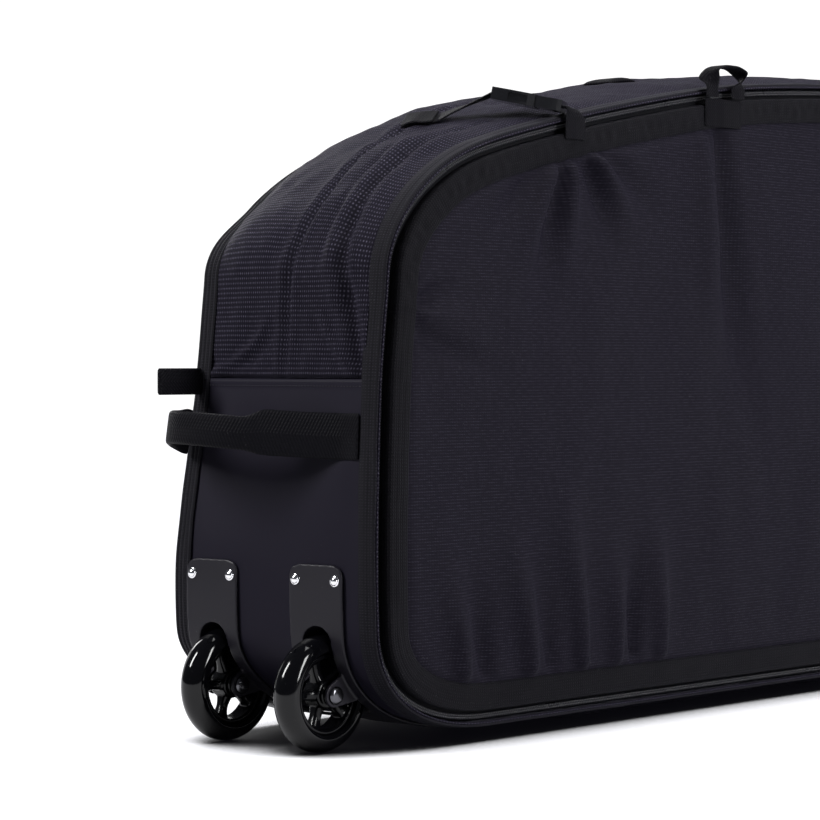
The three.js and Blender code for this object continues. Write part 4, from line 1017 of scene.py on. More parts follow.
class BOARDBAG_OT_wheels(bpy.types.Operator):
    """Makes both glossy wheels with their spoked hubs, axle bolts and the housings' rivets."""

    bl_idname = "boardbag.wheels"
    bl_label = "Wheels and rivets"

    def execute(self, context):
        for wheel in WHEELS:
            self.tyre(wheel)
            self.hub(wheel)
            self.axle(wheel["side"])
            for number in (1, 2):
                self.rivet(f"rivet_{wheel['side']}_{number}")
        return {"FINISHED"}

    def tyre(self, wheel):
        centre, radius, half = wheel_place(wheel["side"])
        bead, bead_half = 31.3 * MM, 9.5 * MM
        turn = np.linspace(-math.pi / 2, math.pi / 2, 31)
        crown = [(radius - half + half * math.cos(a) ** 0.9 if math.cos(a) > 0 else radius - half,
                  half * math.sin(a)) for a in turn]
        lip = [(bead, -bead_half), (bead + 0.7 * MM, -bead_half - 1.0 * MM),
               (bead + 1.6 * MM, -bead_half - 1.5 * MM)]
        profile = [*lip, *crown, *[(r, -h) for r, h in reversed(lip)], lip[0]]
        made = lathe(f"tyre_{wheel['side']}_gloss", profile, 128, centre, "wheel_gloss")
        settle(made, [f"wheel_tyre_{wheel['side']}"], wheel["body"])

    def hub(self, wheel):
        centre, _, _ = wheel_place(wheel["side"])
        rim, rim_in, half = 31 * MM, 27.4 * MM, 8.5 * MM
        ring = [(rim_in, -half), (rim - 0.6 * MM, -half), (rim, -half + 0.6 * MM), (rim, half - 0.6 * MM),
                (rim - 0.6 * MM, half), (rim_in, half), (rim_in, -half)]
        hub = lathe(f"hub_{wheel['side']}_gloss", ring, 96, centre, "hub_gloss")
        boss = [(0, -half), (10 * MM, -half), (11 * MM, -half + 1 * MM), (11 * MM, half - 1 * MM),
                (10 * MM, half),
                (0, half)]
        long, wide = 13.2 * MM, 6.6 * MM
        collar = [(0, -long), (wide, -long), (wide, long), (0, long)]
        parts = [lathe("boss", boss, 48, centre, None), lathe("collar", collar, 32, centre, None)]
        spokes = 5
        for i in range(spokes):
            angle = math.tau * (i + 0.5) / spokes
            parts.append(self.spoke(centre, angle))
        join_solids(hub, parts)
        bore = axle_bore(centre, 0.05)
        join_solids(hub, [bore], "DIFFERENCE")
        mould(hub, 0.85 * MM, 4)
        refinish(hub, "hub_gloss")
        settle(hub, [f"wheel_hub_{wheel['side']}"], wheel["body"])

    def spoke(self, centre, angle):
        """A spoke that widens into the rim and is hollowed along both faces."""
        rows, around = 15, 24
        share = np.linspace(0, 1, rows)
        reach = 8 * MM + share * 21.5 * MM
        half_wide = (3.0 + 3.4 * share**3 + 1.6 * (1 - share) ** 2) * MM
        half_deep = (6.4 - 2.2 * np.sin(math.pi * share) ** 2) * MM
        turn = np.linspace(0, math.tau, around, endpoint=False)
        round_x = np.sign(np.cos(turn)) * np.abs(np.cos(turn)) ** 0.6
        round_y = np.sign(np.sin(turn)) * np.abs(np.sin(turn)) ** 0.6
        grid = np.stack([
            np.broadcast_to(reach[:, None], (rows, around)),
            half_deep[:, None] * round_x,
            half_wide[:, None] * round_y,
        ], -1)
        cos, sin = math.cos(angle), math.sin(angle)
        turned = np.stack([grid[..., 0] * cos - grid[..., 2] * sin, grid[..., 1],
                           grid[..., 0] * sin + grid[..., 2] * cos], -1)
        return tube("spoke", turned + np.array(centre), np.zeros((rows, around + 1, 2)))

    def axle(self, side):
        centre, _, half = wheel_place(side)
        low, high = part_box(f"axle_{side}")
        foot = half + WHEEL["side_room"] + LUG["thick"] + GAP
        reach = (high.y - low.y) / 2
        crown = reach - foot
        head = [(0, foot + crown), (4.2 * MM, foot + 0.96 * crown), (6.0 * MM, foot + 0.75 * crown),
                (7.0 * MM, foot + 0.35 * crown), (7.0 * MM, foot), (3.7 * MM, foot)]
        head = [*[(r, -h) for r, h in head], *reversed(head)]
        made = lathe(f"axle_{side}_bolt", head, 48, centre, "axle_steel")
        settle(made, [f"axle_{side}"])

    def rivet(self, node):
        """A domed rivet with a thin flange, turned to the way its CAD node faces."""
        points = np.array([v.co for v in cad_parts[node].data.vertices])
        middle = points.mean(0)
        spread = np.linalg.eigh(np.cov((points - middle).T))[1]
        out = spread[:, 0] * (-1 if spread[0, 0] > 0 else 1)
        base = middle + out * ((points - middle) @ out).min()
        turn = np.linspace(0, math.pi / 2, 9)
        dome = [(3.3 * MM * math.cos(a), 0.5 * MM + 1.7 * MM * math.sin(a)) for a in turn]
        flange = [(0, 0), (4.2 * MM, 0), (4.3 * MM, 0.25 * MM), (4.0 * MM, 0.5 * MM)]
        made = lathe(f"{node}_dome", [*flange, *dome], 32, (0, 0, 0), "polished_steel")
        tip = Vector((0, 1, 0)).rotation_difference(Vector(out)).to_matrix().to_4x4()
        made.data.transform(Matrix.Translation(base) @ tip)
        settle(made, [node])


# Lid, zip, bindings and back

LID_FOLDS = (
    {"name": "gather_far_left", "start": (0.106, 0.868), "end": (0.050, 0.66), "wide": 12, "high": -6},
    {"name": "gather_left_ridge", "start": (0.109, 0.868), "end": (0.070, 0.60), "wide": 11, "high": 6},
    {"name": "gather_left", "start": (0.1115, 0.868), "end": (0.086, 0.56), "wide": 11, "high": -9},
    {"name": "gather_ridge", "start": (0.113, 0.868), "end": (0.106, 0.60), "wide": 9, "high": 6},
    {"name": "gather_line", "start": (0.1145, 0.868), "end": (0.120, 0.74), "wide": 5, "high": -5},
    {"name": "gather_right", "start": (0.117, 0.868), "end": (0.142, 0.66), "wide": 9, "high": -8},
    {"name": "gather_right_ridge", "start": (0.120, 0.868), "end": (0.158, 0.68), "wide": 10, "high": 6},
    {"name": "gather_far_right", "start": (0.123, 0.870), "end": (0.182, 0.72), "wide": 10, "high": -6},
    {"name": "tail_crease_upper", "start": (0.016, 0.600), "end": (0.046, 0.645), "wide": 7, "high": -6},
    {"name": "tail_crease_ridge", "start": (0.016, 0.588), "end": (0.062, 0.60), "wide": 9, "high": 6},
    {"name": "tail_crease_lower", "start": (0.016, 0.572), "end": (0.080, 0.50), "wide": 8, "high": -5},
    {"name": "foot_fold_tail", "start": (0.050, 0.045), "end": (0.036, 0.30), "wide": 13, "high": 7},
    {"name": "foot_fold_second", "start": (0.064, 0.045), "end": (0.052, 0.26), "wide": 11, "high": -6},
    {"name": "foot_fold_third", "start": (0.090, 0.045), "end": (0.072, 0.34), "wide": 13, "high": 7},
    {"name": "foot_fold_fourth", "start": (0.104, 0.045), "end": (0.090, 0.28), "wide": 11, "high": -5},
    {"name": "foot_fold_fifth", "start": (0.122, 0.048), "end": (0.100, 0.44), "wide": 13, "high": 7},
    {"name": "foot_fold_sixth", "start": (0.143, 0.052), "end": (0.134, 0.32), "wide": 12, "high": 6},
    {"name": "foot_fold_seventh", "start": (0.156, 0.055), "end": (0.150, 0.28), "wide": 9, "high": -8},
    {"name": "foot_fold_eighth", "start": (0.174, 0.060), "end": (0.160, 0.36), "wide": 13, "high": 6},
    {"name": "side_fold", "start": (0.214, 0.92), "end": (0.226, 0.36), "wide": 16, "high": -12},
    {"name": "side_ridge", "start": (0.198, 0.92), "end": (0.204, 0.50), "wide": 15, "high": 6},
)
FLAP = {"inset": 12.5 * MM, "wide": 22 * MM, "tuck": 6 * MM, "cross_seam": 0.343}


def lid_lift(shape, x, z):
    """How far the lid's cloth stands out of its edge at a place seen from the front."""
    tall = shape.top - shape.lift
    inset = FLAP["inset"] + FLAP["wide"]
    along = (2 * (x - shape.tail_x) - shape.length) / (shape.length - 2 * inset)
    up = (2 * (z - shape.lift) - tall) / (tall - 2 * inset)
    lift = sizes().lid_swell * np.clip(1 - along**6, 0, 1) * np.clip(1 - up**4, 0, 1)
    for fold in LID_FOLDS:
        a, b = (np.array([shape.tail_x + along * shape.length, shape.lift + up * tall])
                for along, up in (fold["start"], fold["end"]))
        run = b - a
        share = np.clip(((x - a[0]) * run[0] + (z - a[1]) * run[1]) / (run @ run), 0, 1)
        apart = np.hypot(x - a[0] - share * run[0], z - a[1] - share * run[1])
        wide = fold["wide"] * MM * (0.45 + 1.2 * share)
        fade = (1 - ramp(share, 0.25, 1.0)) * (0.7 + 0.3 * np.sin(math.pi * share))
        lift = lift + sizes().fold_strength * fold["high"] * MM * fade * np.exp(-((apart / wide) ** 2))
    lift = lift + 1.3 * MM * waves(31, x, z * 0.6, 0.16) + 0.5 * MM * waves(32, x, z, 0.05)
    return lift


class BOARDBAG_OT_lid(bpy.types.Operator):
    """Makes the lid's cloth with its gathers and folds."""

    bl_idname = "boardbag.lid"
    bl_label = "Lid"

    def execute(self, context):
        shape = outline()
        inset = FLAP["inset"] + FLAP["wide"] - FLAP["tuck"]
        x, z, edge = across_the_bag(shape, shape.lid, inset, 300, 130)
        lift = lid_lift(shape, x, z)
        tuck = ramp(edge, 0, FLAP["tuck"] * 1.6)
        y = FLAP_FACE_Y + 1.5 * MM + (1 - tuck) * 2.2 * MM - lift * ramp(edge, 0, 14 * MM)
        outer = np.stack([x, y, z], -1)
        inner = outer + np.array([0, LID_CLOTH_THICK, 0])
        made = two_skins("lid_cloth", outer, inner, x, z, "lid_ripstop")
        settle(made, ["lid_panel"])
        return {"FINISHED"}


class BOARDBAG_OT_edges(bpy.types.Operator):
    """Makes the bindings, the zip and the padded flap beside it."""

    bl_idname = "boardbag.edges"
    bl_label = "Bindings and zip"

    def execute(self, context):
        shape = outline()
        self.lid_binding(shape)
        self.back_binding(shape)
        self.tape(shape)
        self.teeth(shape)
        self.flap(shape)
        self.slider()
        return {"FINISHED"}

    def lid_binding(self, shape):
        low, high = LID_FACE_Y, LID_EDGE_Y - GAP
        profile = rounded([(-0.3 * MM, low), (-0.8 * MM, (low + high) / 2), (-1.6 * MM, high),
                           (-1.4 * MM, high + 2.5 * MM), (-0.5 * MM, high + 2.5 * MM), (-0.3 * MM, high),
                           (3.6 * MM, high), (3.6 * MM, low + 2 * MM), (4 * MM, low)], 1.1 * MM)

        def relief(s, across):
            slow = 0.35 * MM * waves(41, s, across * 0, 0.045)
            return slow + 0.25 * MM * np.cos(across * math.tau / (4 * MM))

        made = edge_ring("lid_edge_tape", shape, shape.lid, profile, "binding_tape", relief)
        settle(made, ["lid_binding"])
        ridge = [(0.2 * MM + 1.0 * MM * math.cos(a), LID_FACE_Y - 0.2 * MM + 1.0 * MM * math.sin(a))
                 for a in np.linspace(0, math.tau, 8, endpoint=False)]
        ridge = [(inset + 2.6 * MM, y) for inset, y in ridge]
        piping = edge_ring("lid_edge_piping", shape, shape.lid, ridge, "side_weave",
                           lambda s, across: 0.2 * MM * waves(42, s, across * 0, 0.03))
        settle(piping, [])

    def back_binding(self, shape):
        low, high = BACK_EDGE_Y + GAP, BACK_FACE_Y
        third = (high - low) / 3
        profile = rounded([(-1.4 * MM, low - 4 * MM), (-2.4 * MM, low - 2 * MM), (-1.0 * MM, low),
                           (-2.2 * MM, low + third / 2), (-0.6 * MM, low + third),
                           (-1.8 * MM, low + 1.5 * third), (-0.2 * MM, low + 2 * third),
                           (-1.2 * MM, low + 2.5 * third), (0, high), (4 * MM, high), (4 * MM, low),
                           (-0.4 * MM, low), (-0.6 * MM, low - 4 * MM)], 1.2 * MM)
        made = edge_ring("back_edge_tape", shape, shape.back, profile, "binding_tape",
                         lambda s, across: 0.4 * MM * waves(43, s, across * 0, 0.05))
        settle(made, ["back_binding"])

    def tape(self, shape):
        low, high = TAPE_FACE_Y, TAPE_FACE_Y + 1.6 * MM
        profile = rounded([(4.3 * MM, low), (4.3 * MM, high), (19 * MM, high), (19 * MM, low)], 0.4 * MM, 1)
        settle(edge_ring("zip_tape_cloth", shape, shape.lid, profile, "zip_cloth"), ["zip_tape"])

    def teeth(self, shape):
        """Two rows of coil teeth that meet in the middle of the zip, made as one mesh."""
        inset, pitch = 7.5 * MM, 2.1 * MM
        s = np.arange(0, shape.round, pitch)
        verts, faces = [], []
        cube = [(-1, -1, -1), (1, -1, -1), (1, 1, -1), (-1, 1, -1), (-0.7, -0.7, 1), (0.7, -0.7, 1),
                (0.7, 0.7, 1), (-0.7, 0.7, 1)]
        sides = [(3, 2, 1, 0), (4, 5, 6, 7), (0, 1, 5, 4), (1, 2, 6, 5), (2, 3, 7, 6), (3, 0, 4, 7)]
        size = np.array([0.62 * MM, 1.45 * MM, 1.1 * MM])
        for side in (-1, 1):
            at = s + side * pitch / 4
            middle = shape.lid(at, -(inset + side * 1.0 * MM))
            out = shape.pick(at, shape.lid_out)
            for (x, z), (nx, nz) in zip(middle, out):
                base = len(verts)
                for a, b, c in cube:
                    a, b, c = a * size[0], b * size[1], c * size[2]
                    verts.append((x + nz * a + nx * b, TAPE_FACE_Y - 1.3 * MM - c, z - nx * a + nz * b))
                faces += [tuple(base + k for k in face) for face in sides]
        made = make_mesh("zip_teeth", verts, faces, material="zip_coil")
        weld(made, 1e-7)
        settle(made, ["zip_chain"])

    def flap(self, shape):
        inset, wide = FLAP["inset"], FLAP["wide"]
        front, deep = FLAP_FACE_Y, FLAP_FACE_Y + 3 * MM
        face = [(inset + 0.3 * MM, front + 2.2 * MM), (inset + 1.2 * MM, front + 0.4 * MM)]
        shares = np.linspace(0.12, 0.88, 9)
        face += [(inset + wide * t, front - 0.5 * MM * math.sin(math.pi * t)) for t in shares]
        face += [(inset + wide - 1.2 * MM, front + 0.4 * MM), (inset + wide - 0.2 * MM, front + 1.6 * MM)]
        rest = [(inset + wide - 0.2 * MM, deep), (inset + 3.2 * MM, deep),
                (inset + 3.2 * MM, TAPE_FACE_Y - GAP),
                (inset, TAPE_FACE_Y - GAP)]
        seam_s = shape.at_height(FLAP["cross_seam"], 0, shape.marks["tail_upper"],
                                 shape.marks["shoulder"] + 0.1)

        def relief(s, across):
            ribbed = np.where(s > shape.marks["bottom_nose"], 1.0, np.where(s < seam_s, 1.0, 0.0))
            ribs = 0.45 * MM * np.cos(across * math.tau / (5.2 * MM)) * ribbed
            rough = (1 - ribbed) * 0.9 * MM * waves(51, s, across, 0.014, 9)
            rough = rough + 0.5 * MM * waves(52, s, across, 0.05)
            seam = 0.8 * MM * bump_curve(s, seam_s, 1.6 * MM)
            face_only = bump_curve(across, 12 * MM, 10 * MM)
            return (ribs + rough + seam) * face_only

        made = edge_ring("zip_flap_cloth", shape, shape.lid, [*face, *rest], "flap_cloth", relief, 2.4 * MM)
        settle(made, ["zip_flap"])

    def slider(self):
        for node in ("zip_slider", "zip_pull"):
            dress_node(node, "plated_zip", 0.5 * MM)


def dress_node(node, material, bevel):
    """Gives a CAD node soft edges and a finish of its own."""
    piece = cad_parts[node]
    refinish(piece, material)
    soft = piece.modifiers.new("soft_edges", "BEVEL")
    soft.width = bevel
    soft.segments = 3
    soft.limit_method = "ANGLE"
    soft.angle_limit = math.radians(38)
    soft.harden_normals = False
    piece.data.polygons.foreach_set("use_smooth", np.ones(len(piece.data.polygons), bool))
    normals = piece.modifiers.new("even_shading", "WEIGHTED_NORMAL")
    normals.keep_sharp = True


class BOARDBAG_OT_back(bpy.types.Operator):
    """Makes the padded back panel."""

    bl_idname = "boardbag.back"
    bl_label = "Back panel"

    def execute(self, context):
        shape = outline()
        x, z, edge = across_the_bag(shape, shape.back, 4.3 * MM, 170, 64)
        lift = 5 * MM * ramp(edge, 0, 0.1) + 1.2 * MM * ramp(edge, 0, 0.03) * waves(61, x, z, 0.15)
        y = BACK_FACE_Y - 3.5 * MM + lift - 2 * MM * (1 - ramp(edge, 0, 8 * MM))
        outer = np.stack([x, y, z], -1)
        inner = np.stack([x, y - BACK_CLOTH_THICK, z], -1)
        made = two_skins("back_cloth", outer, inner, x, z, "side_weave")
        settle(made, ["back_panel"])
        return {"FINISHED"}


# Webbing: handle, loops, strap and buckle

HANDLE_ROWS = (
    {"wide": 0.02, "stand": 0, "fold": 0}, {"wide": 0.13, "stand": 0.01, "fold": 0},
    {"wide": 0.25, "stand": 0.2, "fold": 0}, {"wide": 0.36, "stand": 0.42, "fold": 0},
    {"wide": 0.44, "stand": 0.57, "fold": 0.05}, {"wide": 0.51, "stand": 0.68, "fold": 0.95},
    {"wide": 0.60, "stand": 0.84, "fold": 1}, {"wide": 0.72, "stand": 0.96, "fold": 1},
    {"wide": 0.83, "stand": 0.97, "fold": 1}, {"wide": 0.92, "stand": 0.86, "fold": 0.9},
    {"wide": 0.985, "stand": 0.64, "fold": 0.7}, {"wide": 1.03, "stand": 0.38, "fold": 0.4},
    {"wide": 1.055, "stand": 0.16, "fold": 0}, {"wide": 1.06, "stand": 0.03, "fold": 0},
)
HANDLE = {"drop": 4 * MM, "bow": 50 * MM, "seat": 0.6 * MM, "thick_mm": 2.6, "grip_extra_mm": 3.4,
          "grip_narrower": 0.257, "grip_sag": 2 * MM}
BUCKLE_ENTRY, BUCKLE_EXIT = 0.565, 0.99
CARRY_LOOP = {"half_wide": 9 * MM, "span": 46 * MM, "tall": 17 * MM}
BACK_LOOP = {"longer": 4 * MM, "ply": 2.2 * MM}
STRAP_START, STRAP_END = (-548 * MM, 18 * MM), (-476 * MM, -100 * MM)


def sew(name, node, middles, acrosses, thick, samples):
    """A strip of black webbing that stands for one CAD node. thick is one value or one for each row."""
    made = webbing(name, middles, acrosses, np.broadcast_to(thick, len(middles)), samples, "black_webbing")
    settle(made, [node])


class BOARDBAG_OT_webbing(bpy.types.Operator):
    """Makes the end handle, the loops, the top strap with its buckle and the top tab."""

    bl_idname = "boardbag.webbing"
    bl_label = "Webbing and buckle"

    def execute(self, context):
        shape = outline()
        self.handle(shape)
        self.back_loop()
        self.strap(shape)
        self.carry_loop(shape)
        self.tab(shape)
        for node in ("buckle_socket", "buckle_tongue"):
            dress_node(node, "moulded_buckle", 0.7 * MM)
        return {"FINISHED"}

    def handle(self, shape):
        low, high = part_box("end_handle")
        z = (low.z + high.z) / 2 - HANDLE["drop"]
        half = sizes().handle_wide / 2
        middles, acrosses, thicks = [], [], []
        for row in HANDLE_ROWS:
            thick = (HANDLE["thick_mm"] + HANDLE["grip_extra_mm"] * row["fold"]) * MM
            ends = []
            for rise in (-half, half):
                s = shape.at_height(z + rise, min(row["wide"], 1), shape.marks["tail_lower"], shape.round)
                stand = HANDLE["seat"] + thick / 2 + row["stand"] * HANDLE["bow"]
                ends.append(shape.wall(s, row["wide"], stand))
            width = 1 - HANDLE["grip_narrower"] * row["fold"]
            middles.append((ends[0] + ends[1]) / 2 - np.array([0, 0, HANDLE["grip_sag"]]) * row["fold"])
            acrosses.append((ends[1] - ends[0]) * width / 2)
            thicks.append(thick)
        made = webbing("end_handle_webbing", middles, acrosses, thicks, 150, "handle_webbing", columns=21)
        settle(made, ["end_handle"])

    def back_loop(self):
        low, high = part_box("back_loop")
        half = (high.z - low.z) / 2
        z, y = (low.z + high.z) / 2, (low.y + high.y) / 2
        long, ply = high.x - low.x + BACK_LOOP["longer"], BACK_LOOP["ply"]
        near = [(0, -1), (0.5, -1), (0.85, -1.05), (0.965, -0.8)]
        rows = [*near, (0.99, 0), *[(out, -side) for out, side in reversed(near)]]
        middles = [(high.x - out * (long - ply / 2), y + side * (ply / 2 + GAP), z) for out, side in rows]
        sew("back_loop_webbing", "back_loop", middles, [(0, 0, half)] * len(rows), ply, 60)

    def wall_top(self, shape, x, y):
        wide = wide_at(y)
        s = shape.at_x(x, wide, shape.marks["shoulder"], shape.marks["nose_upper"])
        lift = wall_relief(shape, np.array([[s]]), np.array([[wide]]))[0, 0]
        return float(shape.wall(s, wide, lift)[2])

    def strap(self, shape):
        start, run = np.array(STRAP_START), np.array(STRAP_END) - np.array(STRAP_START)
        ahead = run / np.linalg.norm(run)
        sideways = np.array([-ahead[1], ahead[0], 0])
        half = sizes().strap_wide / 2

        def row(way, over, scale=1.0):
            at = start + run * way
            ends = [np.array([*(at + sideways[:2] * s * half), 0.0]) for s in (-1, 1)]
            for end in ends:
                end[2] = self.wall_top(shape, end[0], end[1]) + over
            return (ends[0] + ends[1]) / 2, (ends[1] - ends[0]) * scale / 2

        patch = [row(way, 4.9 * MM, 1.2) for way in (0.03, 0.10, 0.16, 0.22)]
        sew("strap_patch_webbing", "strap_patch", *zip(*patch), 1.8 * MM, 30)
        rows = [row(way, 2.6 * MM) for way in (0.03, 0.12, 0.22)]
        entry_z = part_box("top_strap")[1].z - 1.2 * MM
        entry = np.array([*(start + run * BUCKLE_ENTRY), entry_z])
        leave = rows[-1]
        rows += [(leave[0] + (entry - leave[0]) * t, leave[1] + (sideways * half - leave[1]) * t)
                 for t in (0.33, 0.67, 1)]
        sew("top_strap_webbing", "top_strap", *zip(*rows), WEB_THICK, 80)
        self.strap_tail(sideways, ahead, half)

    def strap_tail(self, sideways, ahead, half):
        low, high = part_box("strap_tail")
        exit_z = high.z - 1.0 * MM
        face_y = FLAP_FACE_Y - 1.6 * MM
        start_xy = np.array(STRAP_START) + (np.array(STRAP_END) - np.array(STRAP_START)) * BUCKLE_EXIT
        middles, acrosses = [], []
        fall = exit_z - low.z
        for out, down, turn in ((0, 0, 0), (0.35, 0.01, 0.15), (0.7, 0.08, 0.45), (0.92, 0.22, 0.8),
                                (1, 0.45, 1), (1, 0.72, 1), (1, 1, 1)):
            x = start_xy[0] + ahead[0] * out * 12 * MM
            y = start_xy[1] + (face_y - start_xy[1]) * out
            across = sideways * (1 - turn) + np.array([1.0, 0, 0]) * turn
            middles.append((x, y, exit_z - down * fall))
            acrosses.append(across / np.linalg.norm(across) * half)
        sew("strap_tail_webbing", "strap_tail", middles, acrosses, WEB_THICK, 70)

    def carry_loop(self, shape):
        low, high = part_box("carry_loop")
        x = (low.x + high.x) / 2
        edge_z = float(shape.lid(shape.at_x(x, 0, shape.marks["shoulder"], shape.marks["nose_upper"]))[1])
        half, span, tall = CARRY_LOOP["half_wide"], CARRY_LOOP["span"], CARRY_LOOP["tall"]
        face_y = FLAP_FACE_Y - 1.6 * MM - 2 * GAP
        middles, acrosses = [], []
        near = [(-0.8, -0.55, 0), (-0.82, 0, 0), (-1, 0.35, 0.5), (-0.88, 0.75, 1), (-0.45, 0.97, 1)]
        far = [(-along, up, turn) for along, up, turn in reversed(near)]
        for along, up, turn in [*near, (0, 1, 1), *far]:
            tilt = turn * math.pi / 2
            sign = -1 if along < 0 else 1
            middles.append((x + along * span / 2, face_y - 1 * MM, edge_z + up * tall))
            acrosses.append((sign * math.cos(tilt) * half, math.sin(tilt) * half, 0))
        sew("carry_loop_webbing", "carry_loop", middles, acrosses, WEB_THICK, 110)
        low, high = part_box("loop_patch")
        y = (low.y + high.y) / 2
        rows = [(x, y, high.z - (high.z - low.z) * t) for t in (0, 0.25, 0.5, 0.75, 1)]
        sew("loop_patch_webbing", "loop_patch", rows, [((high.x - low.x) / 2, 0, 0)] * 5, 1.6 * MM, 24)

    def tab(self, shape):
        low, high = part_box("top_tab")
        x0, long, y = (low.x + high.x) / 2, high.x - low.x, (low.y + high.y) / 2
        middles, thicks = [], []
        for along, tall in ((-0.5, 0.3), (-0.34, 0.75), (-0.12, 1), (0.12, 1), (0.34, 0.75), (0.5, 0.3)):
            x = x0 + along * long
            middles.append((x, y, self.wall_top(shape, x, y) + 0.8 * MM + tall * 2.6 * MM))
            thicks.append(tall * 6 * MM)
        sew("top_tab_webbing", "top_tab", middles, [(0, (high.y - low.y) / 2, 0)] * 6, thicks, 40)


class BOARDBAG_OT_stitching(bpy.types.Operator):
    """Sews the visible stitch lines of the tail."""

    bl_idname = "boardbag.stitching"
    bl_label = "Stitching"

    def execute(self, context):
        shape = outline()
        wide = np.linspace(0.02, 0.98, 60)
        lines = []
        for below in (6 * MM, 1.2 * MM):
            s = np.full(60, shape.round - below)
            base, out = shape.wall(s, wide, 0.35 * MM), shape.wall(s, wide, 1 * MM)
            lines.append((base, (out - base) / np.linalg.norm(out - base, axis=1)[:, None]))
        stitches("tail_seam_stitches", lines)
        return {"FINISHED"}


# Studio

CAMERA = {"place": (-2.222998, -1.545087, 0.300), "heading": 47.2, "pitch": 1.023, "focal_px": 2800.0,
          "frame_px": 820.0, "sensor_mm": 36}
WORLD_STRENGTH = 0.10
FLOOR_GLOW = 1.28
# The floor's painted shadow: how far ambient occlusion looks, and the occlusion shares over which it fades from
# dark to clear.
FLOOR_SHADE = {"reach": 0.13, "dark": 0.36, "light": 0.66}


class BOARDBAG_OT_camera(bpy.types.Operator):
    """Places the camera at the photograph's viewing angle."""

    bl_idname = "boardbag.camera"
    bl_label = "Camera"

    def execute(self, context):
        data = bpy.data.cameras.new("view")
        data.sensor_width = CAMERA["sensor_mm"]
        data.lens = CAMERA["focal_px"] / CAMERA["frame_px"] * CAMERA["sensor_mm"]
        data.clip_end = 60
        camera = bpy.data.objects.new("view", data)
        camera.location = CAMERA["place"]
        camera.rotation_euler = (math.pi / 2 - math.radians(CAMERA["pitch"]), 0,
                                 -math.radians(CAMERA["heading"]))
        context.scene.collection.objects.link(camera)
        context.scene.camera = camera
        return {"FINISHED"}


LIGHTS = (
    {"name": "overhead", "place": (0.05, -0.15, 2.3), "aim": (-0.25, -0.05, 0.4), "size": (1.5, 1.3),
     "power": 33},
    {"name": "lid_strip", "place": (-0.45, -2.05, 0.95), "aim": (-0.6, -0.1, 0.15), "size": (0.34, 1.3),
     "power": 38},
    {"name": "tail_strip", "place": (-2.10, 0.95, 1.45), "aim": (-0.7, 0.0, 0.15), "size": (0.34, 1.0),
     "power": 44},
    {"name": "lid_fill", "place": (1.1, -2.4, 1.7), "aim": (0.1, -0.1, 0.3), "size": (1.2, 1.2), "power": 22},
    {"name": "back_fill", "place": (0.3, 2.6, 1.6), "aim": (0.1, 0.1, 0.3), "size": (1.4, 1.2), "power": 40},
)


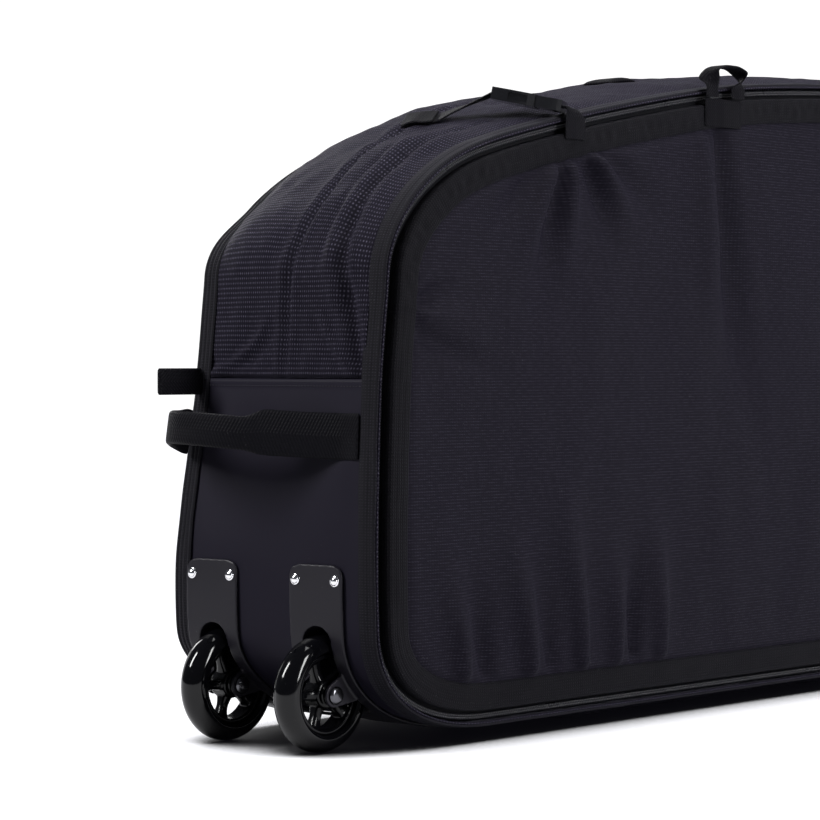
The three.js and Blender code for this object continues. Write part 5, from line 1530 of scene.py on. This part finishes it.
class BOARDBAG_OT_studio(bpy.types.Operator):
    """Makes the pale floor, the soft lights and the surroundings."""

    bl_idname = "boardbag.studio"
    bl_label = "Studio"

    def execute(self, context):
        self.floor()
        self.backdrop()
        for light in LIGHTS:
            self.light(context, light)
        self.surroundings(context)
        context.scene.view_settings.view_transform = "Standard"
        return {"FINISHED"}

    def floor(self):
        """A pale floor, bright enough to read as white, with a painted shadow: its glow and colour turn dark
        where ambient occlusion finds the bag close over it.
        """
        tree, shader = new_material("pale_floor", Roughness=0.7, Specular_IOR_Level=0.1)
        tone = bpy.context.scene.board_bag_colours.floor
        near = tree.nodes.new("ShaderNodeAmbientOcclusion")
        near.samples = 12
        near.inputs["Distance"].default_value = FLOOR_SHADE["reach"]
        clear_of_painted_shadow = tree.nodes.new("ShaderNodeMapRange")
        clear_of_painted_shadow.interpolation_type = "SMOOTHSTEP"
        clear_of_painted_shadow.inputs["From Min"].default_value = FLOOR_SHADE["dark"]
        clear_of_painted_shadow.inputs["From Max"].default_value = FLOOR_SHADE["light"]
        tree.links.new(near.outputs["AO"], clear_of_painted_shadow.inputs["Value"])
        mottle = noise(tree, body_place(tree), 3.0, 2.0)
        shade = blend_colour(tree, mottle, rgba(tone, 0.97), rgba(tone))
        # Painted shadow: where the floor is occluded its glow turns near black and its base colour black.
        glow_with_painted_shadow = blend_colour(tree, clear_of_painted_shadow.outputs[0], (0.0015, 0.0014, 0.0022, 1), shade)
        tree.links.new(blend_colour(tree, clear_of_painted_shadow.outputs[0], (0, 0, 0, 1), rgba(tone, 0.1)),
                       shader.inputs["Base Color"])
        tree.links.new(glow_with_painted_shadow, shader.inputs["Emission Color"])
        shader.inputs["Emission Strength"].default_value = FLOOR_GLOW
        x, y = np.meshgrid(np.linspace(-14, 14, 5), np.linspace(-14, 14, 5), indexing="ij")
        faces, _ = grid_faces(5, 5, False, False)
        made = make_mesh("floor", np.stack([x, y, x * 0], -1), faces[:, ::-1], material="pale_floor")
        if made.data.polygons[0].normal.z < 0:
            made.data.flip_normals()
        made.visible_diffuse = False

    def backdrop(self):
        """A white wall far behind the bag for the camera, and a bright card that only reflections show."""
        _, shader = new_material("white_backdrop", Roughness=1.0, Specular_IOR_Level=0.0)
        shader.inputs["Base Color"].default_value = (0, 0, 0, 1)
        shader.inputs["Emission Color"].default_value = (1, 1, 1, 1)
        shader.inputs["Emission Strength"].default_value = 1.1
        turn = np.linspace(0, math.tau, 48, endpoint=False)
        wall = self.curved_wall("backdrop", turn, 13, (-0.5, 9), True)
        wall.visible_glossy = False
        beyond = turn[(turn > math.radians(5)) & (turn < math.radians(100))]
        card = self.curved_wall("bright_card", beyond, 11, (0.2, 4.5), False)
        card.visible_camera = False

    def curved_wall(self, name, turn, radius, heights, closed):
        rise = np.linspace(*heights, 3)
        shape = len(turn), 3
        grid = np.stack([
            np.broadcast_to(radius * np.cos(turn)[:, None], shape),
            np.broadcast_to(radius * np.sin(turn)[:, None], shape),
            np.broadcast_to(rise, shape),
        ], -1)
        faces, _ = grid_faces(*shape, closed, False)
        made = make_mesh(name, grid, faces, material="white_backdrop")
        made.visible_diffuse = False
        made.visible_shadow = False
        return made

    def light(self, context, spec):
        data = bpy.data.lights.new(spec["name"], "AREA")
        data.shape = "RECTANGLE"
        data.size, data.size_y = spec["size"]
        data.energy = spec["power"]
        made = bpy.data.objects.new(spec["name"], data)
        made.location = spec["place"]
        toward = Vector(spec["aim"]) - Vector(spec["place"])
        made.rotation_euler = toward.to_track_quat("-Z", "Y").to_euler()
        context.scene.collection.objects.link(made)

    def surroundings(self, context):
        world = bpy.data.worlds.new("studio")
        world.use_nodes = True
        dim = world.node_tree.nodes["Background"]
        dim.inputs["Color"].default_value = (0.85, 0.88, 1.0, 1)
        dim.inputs["Strength"].default_value = WORLD_STRENGTH
        context.scene.world = world


class BOARDBAG_PT_maker(bpy.types.Panel):
    """Lists the makers of the bag's pieces."""

    bl_idname = "BOARDBAG_PT_maker"
    bl_label = "Board Bag"
    bl_space_type = "VIEW_3D"
    bl_region_type = "UI"
    bl_category = "Board Bag"

    def draw(self, context):
        for maker in MAKERS:
            self.layout.operator(maker.bl_idname)
        for group in (context.scene.board_bag_sizes, context.scene.board_bag_colours):
            for key in group.__annotations__:
                self.layout.prop(group, key)


MAKERS = (
    BOARDBAG_OT_camera,
    BOARDBAG_OT_side_walls,
    BOARDBAG_OT_tail,
    BOARDBAG_OT_wheels,
    BOARDBAG_OT_lid,
    BOARDBAG_OT_edges,
    BOARDBAG_OT_back,
    BOARDBAG_OT_webbing,
    BOARDBAG_OT_stitching,
    BOARDBAG_OT_studio,
)
CLASSES = (BoardBagSizes, BoardBagColours, *MAKERS, BOARDBAG_PT_maker)


def register():
    for cls in CLASSES:
        bpy.utils.register_class(cls)
    bpy.types.Scene.board_bag_sizes = PointerProperty(type=BoardBagSizes)
    bpy.types.Scene.board_bag_colours = PointerProperty(type=BoardBagColours)


def unregister():
    del bpy.types.Scene.board_bag_colours
    del bpy.types.Scene.board_bag_sizes
    for cls in reversed(CLASSES):
        bpy.utils.unregister_class(cls)


def main():
    register()
    make_materials()
    bpy.ops.boardbag.camera()
    bpy.ops.boardbag.side_walls()
    bpy.ops.boardbag.tail()
    bpy.ops.boardbag.wheels()
    bpy.ops.boardbag.lid()
    bpy.ops.boardbag.edges()
    bpy.ops.boardbag.back()
    bpy.ops.boardbag.webbing()
    bpy.ops.boardbag.stitching()
    bpy.ops.boardbag.studio()


if __name__ == "__main__":
    main()
